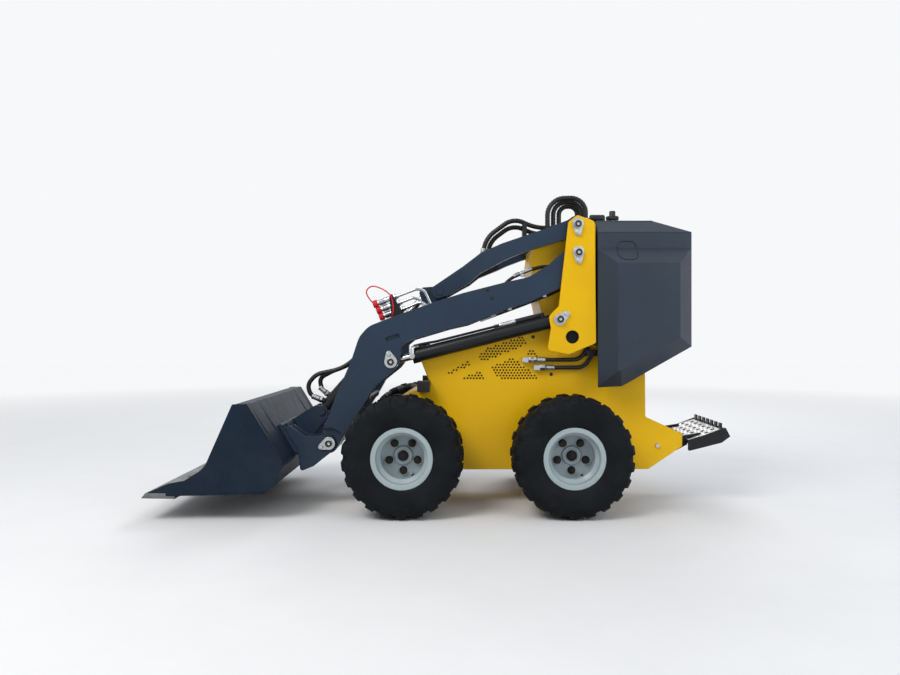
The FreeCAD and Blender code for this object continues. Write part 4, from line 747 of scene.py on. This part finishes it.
def onPipe(*distances):  # points of the pipe's middle line, from the barrel's eye
    return liftPipe + liftUnit * np.array(distances)[:, None]


def raisedBy(*heights):  # points above the elbow
    return [(elbow[0], elbow[1], elbow[2] + height) for height in heights]


fittings = [tubeShape(onPipe(170, 190, 212, 237), [8.4, 8.8, 8.8, 8.2], 22),
            tubeShape(onPipe(168, 176, 184), [10.4, 10.6, 10.4], 6),
            tubeShape(onPipe(222, 229, 236), [10.2, 10.4, 10.2], 6),
            tubeShape([(elbow[0], y, elbow[2]) for y in (-242, -250, -256)], [12, 12.6, 12.2], 6),
            tubeShape(hosePath(raisedBy(0, 34) + [(-124, -226, 637)], 2.0), 6.0, 16),
            tubeShape(raisedBy(6, 16, 26), [8.4, 8.6, 8.4], 6)]
hoses = [tubeShape(onPipe(172, 130, 88), 9.2, 20),
         tubeShape(hosePath([(-126, -228, 637), (-112, -216, 637), (-96, -214, 633)], 2.0), 7.6, 16)]
fittings, hoses = together(fittings), together(hoses)
for name, zinc, dark in (("left", fittings, hoses), ("right", mirrored(fittings), mirrored(hoses))):
    makePiece("lift_fittings_" + name, zinc, "zincSteel", "lift_barrel_" + name)
    makePiece("lift_hoses_" + name, dark, "hoseRubber", "lift_barrel_" + name)

# Hoses clipped along the left arm's inner face: over its top edge, and under its lower edge
armOver = [(215, 882), (251, 916), (333.8, 951), (395.5, 962), (436, 948)]
armUnder = [(150, 749), (232, 779), (322.9, 813), (441.5, 859), (470, 888)]
overY, underY = -173, -180.2


def alongArm(places, y):
    return [(x, y, z) for x, z in places]


hoses = [tubeShape(smoothed(alongArm(armOver, overY)), 6.6, 16),
         tubeShape(smoothed(alongArm(armUnder, underY)), 4.6, 16)]
makePiece("arm_hoses", hoses, "hoseRubber", "boom")
fittings = [tubeShape(alongArm([(256, 918.5), (292, 934), (330, 949.5)], overY), [8.2, 8.6, 8.2], 20),
            tubeShape(alongArm([(262, 921), (272, 925.4), (280, 929)], overY), [10.2, 10.4, 10.2], 6),
            tubeShape(alongArm([(122, 738.5), (150, 749.5), (186, 763)], underY), 4.8, 16)]
clips = [block(x - 8, x + 8, -184.9, y, z - 6, z + 6, 1.0)
         for x, y, z in ((292, -178, 922), (400, -178, 956), (240, -183, 787), (380, -183, 840))]
makePiece("arm_hose_fittings", fittings + clips, "zincSteel", "boom")
print("hoses and their ends")

# Bolts and keepers, the same on both sides

outwards = (0, -1, 0)  # away from the machine on the side that is drawn; the other is its mirror image
buttonHead = solid([(7, 0), (6.9, 1.4), (5.6, 3.0), (3.2, 3.8), (3.0, 2.6)], 24)
smallHead = (buttonHead[0] * 0.7, buttonHead[1])
keeperBolt = lathe([(tip, 0), (8.8, 0), (8.8, 5.4), (7.8, 6.8), (tip, 7.0)], 6, math.pi / 6)
keeperWasher = solid([(11, 0), (11, 1.2), (10.4, 1.7)], 24)
pinEnd = lathe([(11.0, 0), (14.4, 0), (15.2, 1), (15.2, 3), (14.2, 4), (10.5, 4.2), (9.6, 3.2), (4.0, 3.0),
                (3.4, 1.4), (tip, 1.3)], 40)
pinWasher = lathe([(16.4, 0), (19.5, 0), (20, 0.6), (20, 1.8), (19.5, 2.4), (16.4, 2.4)], 36)
# Black ring on each pin end: painted shade, a dark ring standing for the shadow at the pin.
pinShadeRing = lathe([(5.8, 1.2), (13.4, 1.2), (13.4, 4.7), (12.8, 5.0), (6.4, 5.0), (5.8, 4.7), (5.8, 1.2)], 40)
photoSet = {"away": 3156, "focal": 740, "column": 462, "row": 335, "x": 48.5, "z": 682.5}


def fromPhoto(pixels, y):  # points on the plane at this y, from their columns and rows in the photograph
    scale = (photoSet["away"] + y) / photoSet["focal"]
    return [(photoSet["x"] + (column - photoSet["column"]) * scale, y,
             photoSet["z"] - (row - photoSet["row"]) * scale)
            for column, row in pixels]


for name, head, pixels, face, material, body in (
        ("arm_bolts", buttonHead, [(487.6, 289.7), (492, 297.8)], -243, "blackPlastic", "boom"),
        ("side_bolts", buttonHead, [(551.2, 374.1), (533.2, 337.1)], -172, "blackPlastic", "chassis"),
        ("pod_bolts", smallHead, [(617.9, 342.9), (640.8, 342.2)], -328.3, "podPaint", "chassis")):
    makePiece(name, moved(head, fromPhoto(pixels, face), outwards, 0.3), material, body, both=True)


def keeper(centre, toward, face):  # the locking bolt in a keeper's tail, and its washer
    lean = math.radians(toward)
    spot = (centre[0] + 33 * math.cos(lean), face, centre[1] + 33 * math.sin(lean))
    return [moved(keeperBolt, spot, outwards, 0.2), moved(keeperWasher, spot, outwards)]


# Tear-drop plate: a big and a small circle joined by their outer tangents, cos a = (big - small) / reach.
def tearDrop(centre, toward, low, high, big=25.0, small=11.0, reach=33.6):
    lean, aim = math.acos((big - small) / reach), math.radians(toward)
    angle = np.concatenate([np.linspace(-lean, lean, 14), np.linspace(lean, 2 * math.pi - lean, 34)]) + aim
    size = np.repeat([small, big], [14, 34])
    shift = np.repeat([reach, 0.0], [14, 34])
    flat = np.stack([centre[0] + size * np.cos(angle) + shift * math.cos(aim),
                     centre[1] + size * np.sin(angle) + shift * math.sin(aim)], axis=1)
    return roundedPlate(flat, low, high, 0.7)


# Pins (x, z) with the angle of the keeper's tail; the CAD has the tower's plates, the others get theirs here.
pinSet = {
    "tower": {"body": "chassis", "plate": -264.3, "end": -272.0,
              "pins": (((504.7, 1005.6), -88), ((502.0, 1116.4), -88), ((433.1, 744.4), 40))},
    "arm": {"body": "boom", "plate": -249.8, "end": -249.8, "back": -243.2, "pins": (((-232, 576.7), 103),)},
    "hitch": {"body": "bucket", "plate": -248.8, "end": -248.8, "back": -242.1, "pins": (((-475.5, 256), 203),)},
}
for name, look in pinSet.items():
    parts = []
    for centre, toward in look["pins"]:
        parts += keeper(centre, toward, look["plate"])
        if "back" in look:
            parts.append(tearDrop(centre, toward, look["plate"], look["back"]))
        parts.append(moved(pinEnd, (centre[0], look["end"], centre[1]), outwards))
        if name == "tower":
            parts.append(moved(pinWasher, (centre[0], look["plate"] + 0.1, centre[1]), outwards))
    makePiece(name + "_keeper_bolts", parts, "zincSteel", look["body"], both=True)
# The black rings on the pin ends are painted shade.
for name, look in pinSet.items():
    rings = moved(pinShadeRing, [(x, look["end"], z) for (x, z), toward in look["pins"]], outwards, 0.3)
    makePiece(name + "_pin_shade_rings", rings, "blackPlastic", look["body"], both=True)
# Dark rubber disc just inside each tower tie hole: painted shade, a dark sheet standing for the deep shadow in the
# hole.
holeShadeDisc = solid([(28.6, 0), (29, 0.5), (29, 2.2), (28.6, 2.7)], 44)
makePiece("tower_hole_backings", moved(holeShadeDisc, (481.2, -245.2, 674.7), outwards, 0.3), "tyreRubber",
          slot="black_plastic", both=True)
# Black rubber sheet just inside the side plates' vent holes: painted shade, standing for the shade behind them.
ventOutline = [(-24, 508), (150, 499), (366, 499), (366, 640), (330, 700), (292, 700), (110, 618), (-24, 548)]
makePiece("vent_painted_shade", roundedPlate(ventOutline, -158, -155, 0.8), "hoseRubber", both=True)
print("bolts and pin ends")

# Weld beads: a small tube whose radius swells in even scales along its line

weldSet = {"radius": 2.6, "scale": 5.0, "swell": 0.5}


def weld(points):
    points = np.array(points, float)
    s = np.arange(0, lengths(points)[-1], weldSet["scale"] / 4)
    swell = weldSet["swell"] * np.abs(np.sin(np.pi * s / weldSet["scale"]))
    return tubeShape(pointsAt(points, s), weldSet["radius"] + swell, 7)


around = np.linspace(0, 2 * np.pi, 48)
beads = [weld(circle(around, 31, (x, -184, z))) for x, z in ((-40, 752), (120, 795))]
makePiece("boom_welds", beads, "slatePaint", "boom", both=True)
hitchFoot, hitchUp = np.array([-600.5, 209.0]), unit(np.array([-137, 220.0]))
hitchOut = np.array([hitchUp[1], -hitchUp[0]]) * 12.6
beads = []
for y in (-46.5, -33.5, 33.5, 46.5, -232, -242, -182, -198):
    a, b = hitchFoot + hitchUp * 24 + hitchOut, hitchFoot + hitchUp * 132 + hitchOut
    beads.append(weld([(a[0], y, a[1]), (b[0], y, b[1])]))
makePiece("hitch_welds", beads, "bucketPaint", "bucket")
beads = [weld([(-741.5, share * 455 + side, 429), (-683, share * 455 + side, 335)])
         for share in (-0.92, -0.66, 0.66, 0.92) for side in (-4.5, 4.5)]
beads += [weld([(-1030, y, 103), (-852, y, 105.5), (-690, y, 111)]) for y in (-446.5, 446.5)]
makePiece("bucket_welds", beads, "bucketPaint", "bucket")
beads = [weld([(x, y, 660), (x, y, 1100)]) for x, y in ((563, -247.5), (561.5, -173))]
makePiece("tower_welds", beads, "yellowPaint", both=True)
print("welds")

# Quick couplers: knurled sleeves, ribbed red caps and the caps' moulded strap

couplerSet = {"seat": (-237, -150, 838), "slope": (46, 0, -76), "tilt": 19.5, "reach": (63, 64, 68), "gap": 29,
              "ribs": 18}
couplerTilt = math.radians(couplerSet["tilt"])
ahead = np.array([-math.cos(couplerTilt), 0, -math.sin(couplerTilt)])
knurl = [(11.0, 0), (14.0, 0.4)]
for z in range(0, 21, 3):
    knurl += [(14.4, 2 + z), (13.2, 3 + z), (13.2, 3.8 + z), (14.4, 4.8 + z)]
sleeve = lathe(knurl + [(14.0, 24.0), (11.0, 24.4)], 44)
sleeveRing = lathe([(10.0, 0), (12.2, 0.3), (12.2, 3), (10, 3.4)], 32)
backNut = lathe([(9.5, 0), (14.4, 0), (15.2, 0.9), (15.2, 9), (14.4, 10), (9.5, 10)], 6, math.pi / 6)
frontNut = lathe([(9.5, 0), (14.0, 0), (14.8, 0.9), (14.8, 8), (14.0, 9), (9.5, 9)], 6, math.pi / 6)
capShape = lathe([(tip, 0), (14.8, 0), (15.4, 1), (15.4, 4), (14.6, 5), (14.6, 17), (13.6, 19.2),
                  (9, 20.6), (tip, 21)], 36)
rib = block(-0.9, 0.9, -1.1, 1.1, 5, 16.5, 0.5)
ribAngles = np.arange(couplerSet["ribs"]) * 2 * np.pi / couplerSet["ribs"]
across = np.array([0.0, 1.0, 0.0])
ribRing = 14.7 * (across * np.cos(ribAngles)[:, None] + np.cross(ahead, across) * np.sin(ribAngles)[:, None])
sleeves, nuts, caps = [], [], []
for k, reach in enumerate(couplerSet["reach"]):
    middle = np.array(couplerSet["seat"]) + unit(np.array(couplerSet["slope"])) * (6 + couplerSet["gap"] * k)
    sleeves += [moved(sleeve, middle + ahead * (reach - 30), ahead), moved(sleeveRing, middle + ahead * 10, ahead)]
    nuts += [moved(backNut, middle - ahead * 15, ahead), moved(frontNut, middle + ahead * 4.5, ahead)]
    capAt = middle + ahead * reach
    caps += [moved(capShape, capAt, ahead), moved(rib, capAt + ribRing, ahead, ribAngles)]
makePiece("coupler_sleeves", sleeves, "chromeRod", "boom")
makePiece("coupler_nuts", nuts, "zincSteel", "boom")
makePiece("coupler_cap_details", caps, "redPlastic", "boom")
strapPixels = [(373.6, 303.6), (370.4, 300.3), (367.4, 296), (365.9, 291.4), (369.5, 287), (374.8, 286.1),
               (382.9, 289.2), (389.1, 293.2), (392.7, 298.6), (394, 307.5), (393.6, 314.6), (390, 320), (383.8, 321.8)]
strap = np.array(fromPhoto(strapPixels, -167))
strap[:, 1] = np.interp(np.arange(len(strap)), [0, 4, 6, 10, 11, 12], [-158, -172, -188.5, -188.5, -174, -158])
makePiece("coupler_strap", tubeShape(smoothed(strap), 2.7, 10), "redPlastic", "boom")
print("couplers")

# Hood: ribbed filler cap, pull ring on the pod and edge beads

hoodSet = {"half": 258.0, "podDepth": 70.0, "cap": (669, -100, 1138.4), "capRibs": 24,
           "pull": (692.5, 1012), "pullHalf": 38.5}
capRows = [(17.3, 0), (17.3, 17), (24.6, 18.2), (25.2, 20), (25.2, 31), (24.4, 33), (14, 34.0), (12.8, 36),
           (12.6, 52), (11.6, 54.6), (tip, 55.2)]
ribAngles = np.arange(hoodSet["capRibs"]) * 2 * np.pi / hoodSet["capRibs"]
spots = 25.0 * np.stack([np.cos(ribAngles), np.sin(ribAngles), 0 * ribAngles], axis=1) + hoodSet["cap"]
rib = block(-1.2, 1.2, -1.1, 1.1, 19.5, 31.5, 0.5)
filler = [moved(lathe(capRows, 48), hoodSet["cap"]), moved(rib, spots, spins=ribAngles)]
makePiece("filler_cap_detail", filler, "blackPlastic")


def roundedSquare(turn, power):  # (sign cos |cos| ** power, sign sin |sin| ** power): squarer as the power falls
    return (np.sign(np.cos(turn)) * np.abs(np.cos(turn)) ** power,
            np.sign(np.sin(turn)) * np.abs(np.sin(turn)) ** power)


pullX, pullZ = roundedSquare(np.linspace(0, 2 * np.pi, 72), 0.62)
pullX, pullZ = (middle + hoodSet["pullHalf"] * part for middle, part in zip(hoodSet["pull"], (pullX, pullZ)))
pullY = -hoodSet["half"] - 1.4 - np.clip(1023 - pullZ, 0, 64) * hoodSet["podDepth"] / 63.9
makePiece("pod_pull_ring", tubeShape(np.stack([pullX, pullY, pullZ], axis=1), 1.7, 8), "blackPlastic")
beads = []
for sign in (-1, 1):
    for radius, path in ((1.5, [(583, 200, 1138.2), (700, 200, 1138.2), (807, 200, 1138.2)]),
                         (1.3, [(581.5, 258, 1086.2), (760, 258, 1086.2), (945.5, 258, 1086.0)]),
                         (1.4, [(583, 256.8, 1084.5), (583, 229, 1112.0), (583, 200.5, 1137.0)])):
        beads.append(tubeShape(np.array(path) * [1, sign, 1], radius, 8))
makePiece("hood_edge_beads", beads, "podPaint")
print("hood details")

# Platform: raised bright drops on its worn floor, between the slots

turn = np.linspace(0, 2 * np.pi, 12, endpoint=False)
ring = np.stack([np.cos(turn) * platformSet["dropLong"] / 2, np.sin(turn) * platformSet["dropWide"] / 2,
                 0 * turn], axis=1)
dropRows = [ring * [wide, deep, 1] + [0, 0, z] for wide, deep, z in (
    (0, 0, -0.4), (1, 1, -0.4), (0.96, 0.9, 0.55 * platformSet["dropHigh"]),
    (0.7, 0.45, platformSet["dropHigh"]), (0, 0, 1.04 * platformSet["dropHigh"]))]
drop = gridShape(np.stack(dropRows), wrapV=True)
along, across = np.meshgrid(np.arange(pinX + 122.5, pinX + 258, 8.25), np.arange(-180, 181, 13.25), indexing="ij")
flip = (np.add.outer(np.arange(along.shape[0]), np.arange(along.shape[1])) % 2).ravel()
along, across = along.ravel(), across.ravel()
inSlot = np.zeros(len(along), bool)
for row in range(4):
    for step in range(7 - row % 2):
        slotX, slotY = pinX + 136 + 33 * row, -159 + 53 * step + 26.5 * (row % 2)
        inSlot |= (np.abs(along - slotX) < 14) & (np.abs(across - slotY) < 17)
along, across, flip = along[~inSlot], across[~inSlot], flip[~inSlot]
spots = np.stack([along, across, pinZ + platformSet["rise"] + slope * (along - floorStart)], axis=1)
aim = unit(np.array([-slope, 0, 1.0]))
makePiece("platform_tread", moved(drop, spots, aim, np.where(flip, 0.78, -0.78) + np.pi / 2),
          "brightTread", "platform")
print("platform tread", len(spots))

# Console: gauges with glass, lever boots and knobs, switches, key and stop button

consoleSet = {"gaugeTilt": 24, "gauges": (820, (-60, 0, 60), 1038), "needles": (60, 110, 15), "leverLean": 18,
              "levers": (880, (-115, -85, 85, 115), 1018.6), "panel": ((786, 1060), (941, 990))}


def tilted(angle):  # upwards, leaning to the operator
    return np.array([math.sin(angle), 0, math.cos(angle)])


def inRow(x, sides, z):
    return [(x, y, z) for y in sides]


# A gauge: chromed ring, white face set back in it, marks, needle and a low glass dome.
bezelRows = [(19.5, 14.5), (20.0, 17.8), (22.4, 19.2), (25.0, 18.2), (25.6, 15), (25.4, 8), (24.4, 7.5)]
glassRows = [(tip, 19.0), (8, 18.8), (15, 18.2), (19.8, 17.4), (19.8, 17.0), (tip, 17.0)]
mark = block(-0.5, 0.5, 13.5, 17.5, 16.3, 16.6, 0.12)
needle = block(-0.7, 0.7, -3, 14, 16.8, 17.2, 0.15)
gaugeSpots, normal = inRow(*consoleSet["gauges"]), tilted(math.radians(consoleSet["gaugeTilt"]))
markAngles = np.radians(np.linspace(-130, 130, 11)) + math.pi / 2
marks = [moved(mark, [spot] * len(markAngles), normal, markAngles) for spot in gaugeSpots]
makePiece("gauge_bezels", moved(lathe(bezelRows, 56), gaugeSpots, normal), "chromeRod")
makePiece("gauge_faces", moved(solid([(19.6, 16.3), (19.6, 15.5)], 48), gaugeSpots, normal), "gaugeFace")
makePiece("gauge_marks", marks, "blackPlastic")
makePiece("gauge_needles", moved(needle, gaugeSpots, normal, np.radians(consoleSet["needles"])), "redPlastic")
makePiece("gauge_glass", moved(lathe(glassRows, 40), gaugeSpots, normal), "clearGlass")
bellows = [(24, 0), (24, 3)]
for k in range(5):
    bellows += [(20.5 - 2.0 * k, 5 + 5 * k), (17.5 - 2.0 * k, 7.5 + 5 * k)]
bellows += [(8.5, 31), (7.2, 36), (6.2, 38), (6.0, 30)]
leverSpots, leverAim = np.array(inRow(*consoleSet["levers"])), tilted(math.radians(consoleSet["leverLean"]))
makePiece("lever_boots", moved(lathe(bellows, 40), leverSpots - leverAim * 2, leverAim), "hoseRubber")
knobRows = [(tip, 90.4), (7, 89.2), (12, 84.5), (14.4, 77), (13.6, 69.5), (10.4, 64), (7.6, 61.5), (7.2, 57),
            (6.2, 56.5), (tip, 56.4)]
makePiece("lever_knobs", moved(lathe(smoothed(knobRows, 2), 40), leverSpots, leverAim), "blackPlastic")
(panelX, panelZ), (endX, endZ) = consoleSet["panel"]
panelNormal = tilted(math.atan((panelZ - endZ) / (endX - panelX)))


def onPanel(x, y):  # a point of the sloping panel
    return x, y, panelZ - (x - panelX) * (panelZ - endZ) / (endX - panelX)


rocker = together([block(-8, 8, -12, 12, -1, 2.4, 1.2), block(-5.5, 5.5, -9.5, 9.5, 1, 5.2, 1.4)])
makePiece("console_switches", moved(rocker, [onPanel(850, y) for y in (-32, 0, 32)], panelNormal), "blackPlastic")
stopRows = [(tip, 26), (12, 25.4), (17, 23.4), (18, 20), (17.2, 16.8), (9.5, 15), (9.5, 5), (tip, 5)]
stopCollar = lathe([(10, -1), (21, -1), (22, 0.2), (22, 4.4), (20.5, 6), (10, 6.2)], 40)
makePiece("stop_button", moved(lathe(smoothed(stopRows, 2), 40), onPanel(905, 0), panelNormal), "redPlastic")
makePiece("stop_collar", moved(stopCollar, onPanel(905, 0), panelNormal), "yellowPaint")
keyParts = [solid([(9, 8), (10.5, 7), (10.5, 2), (13, 1.4), (13, -1)]), block(-1.3, 1.3, -3.5, 3.5, 6, 13, 0.5),
            moved(solid([(8.8, -1.4), (9.4, 0), (8.8, 1.4)], 24), (0, 0, 20), (1, 0, 0))]
makePiece("key_switch", moved(together(keyParts), onPanel(905, -55), panelNormal), "zincSteel")
print("console")

# Bucket: a folded edge plate on each cheek, wear strips and edge bolts

cheek = [(-727, 398), (-848, 112), (-846, 104), (-668, 110), (-640, 128), (-610, 196), (-609, 214), (-724, 398)]
makePiece("bucket_cheek_plates", roundedPlate(cheek, -457.2, -454.9, 0.8), "bucketPaint", "bucket", both=True)
edgeBolts = moved(buttonHead, [(-1066, y, 104.6) for y in np.linspace(-400, 400, 7)])
makePiece("cutting_edge_bolts", edgeBolts, "wornSteel", "bucket")
wearStrips = [block(-985, -870, y - 16, y + 16, 90.5, 95.8, 2) for y in (-300, -100, 100, 300)]
makePiece("bucket_wear_strips", wearStrips, "wornSteel", "bucket")
print("bucket")

# Thigh pad: remeshed, blown up by cloth pressure within a cap, then sewn channels pressed in

padSet = {"x": (949.0, 973.5), "y": (-158.0, 158.0), "z": (806.0, 969.0), "edge": 7, "voxel": 0.006, "pressure": 4.0,
          "cap": 0.009, "frames": 20, "back": 0.9479, "channels": (-54.0, 54.0), "channelDeep": 0.0045,
          "channelWide": 0.007}


def pointsOf(mesh):
    flat = np.empty(len(mesh.vertices) * 3)
    mesh.vertices.foreach_get("co", flat)
    return flat.reshape(-1, 3)


def evaluatedMesh(source):
    return bpy.data.meshes.new_from_object(source.evaluated_get(bpy.context.evaluated_depsgraph_get()))


# The cloth's move of each point, cut to the cap; its back stays held.
def swollenMove(pad, start, backX, look):
    held = pad.vertex_groups.new(name="held")
    held.add([int(i) for i in np.nonzero(start[:, 0] < backX + 0.004)[0]], 1.0, "REPLACE")
    cloth = pad.modifiers.new("swell", "CLOTH")
    cloth.settings.use_pressure = True
    cloth.settings.uniform_pressure_force = look["pressure"]
    cloth.settings.effector_weights.gravity = 0
    cloth.settings.vertex_group_mass = "held"
    cloth.point_cache.frame_start, cloth.point_cache.frame_end = 1, look["frames"]
    for step in range(1, look["frames"] + 1):
        scene.frame_set(step)
    move = pointsOf(evaluatedMesh(pad)) - start
    pad.modifiers.clear()
    scene.frame_set(1)
    far = np.linalg.norm(move, axis=1, keepdims=True)
    return move * np.minimum(1, look["cap"] / np.maximum(far, 1e-9))


def makePad(look):
    backX = look["x"][0] * 0.001
    shape = block(*look["x"], *look["y"], *look["z"], look["edge"])
    pad = placeObject("thigh_pad_cushion", meshOf("thigh_pad_cushion", shape, 1e-5))
    bpy.context.view_layer.objects.active = pad
    remesh = pad.modifiers.new("even", "REMESH")
    remesh.mode, remesh.voxel_size = "VOXEL", look["voxel"]
    mesh = evaluatedMesh(pad)
    pad.modifiers.clear()
    pad.data = mesh
    points = pointsOf(mesh)
    points = points + swollenMove(pad, points, backX, look)
    for y in look["channels"]:  # a channel: the front pressed in by depth * exp(-(distance / width) ** 2)
        press = look["channelDeep"] * np.exp(-((points[:, 1] - y * 0.001) / look["channelWide"]) ** 2)
        points[:, 0] -= press * (points[:, 0] > backX + 0.008)
    points[:, 0] = np.maximum(points[:, 0], look["back"])
    mesh.vertices.foreach_set("co", points.ravel())
    mesh.materials.clear()
    mesh.materials.append(materials["padVinyl"])
    mesh.shade_smooth()
    even = pad.modifiers.new("even", "SUBSURF")
    even.levels = even.render_levels = 1
    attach(pad, "chassis")
    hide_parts("thigh_pad")


makePad(padSet)
pipingY, pipingZ = roundedSquare(np.linspace(0, 2 * np.pi, 120), 0.22)
piping = np.stack([np.full(120, 974.0), 151 * pipingY, 887.5 + 74.5 * pipingZ], axis=1)
makePiece("thigh_pad_piping", tubeShape(piping, 2.0, 8), "hoseRubber")
print("thigh pad")

# Floor: it fades with distance into the backdrop's own pale colour, so that no dark horizon shows

floorSet = {"half": 14.0, "tone": (0.76, 0.76, 0.765), "second": (0.73, 0.73, 0.735), "rough": 0.8,
            "far": (0.925, 0.935, 0.945), "near": 2.2, "away": 7.5}
half = floorSet["half"]
floorMesh = bpy.data.meshes.new("floor")
floorMesh.from_pydata([(-half, -half, 0), (half, -half, 0), (half, half, 0), (-half, half, 0)], [], [(0, 1, 2, 3)])
floor = placeObject("floor", floorMesh)
tree, shader, coord = startMaterial("paleFloor")
grit = span(tree, noise(tree, coord, 3.0, 6.0, 0.7), 0.3, 0.7)
feed(tree, shader, {"Base Color": mixed(tree, grit, floorSet["tone"], floorSet["second"]),
                    "Roughness": floorSet["rough"]})
glow = addNode(tree, "ShaderNodeEmission", Color=floorSet["far"], Strength=1.0)
reach = addNode(tree, "ShaderNodeVectorMath", operation="LENGTH", i0=coord)
faded = maths(tree, "MULTIPLY", span(tree, reach.outputs["Value"], floorSet["near"], floorSet["away"]),
              seenRays(tree))
mixShaders(tree, faded, shader.outputs[0], glow.outputs[0], tree.nodes["Material Output"])
floorMesh.materials.append(materials["paleFloor"])
floor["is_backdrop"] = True
print("floor")

boxAtEnd = [list(corner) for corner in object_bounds()]
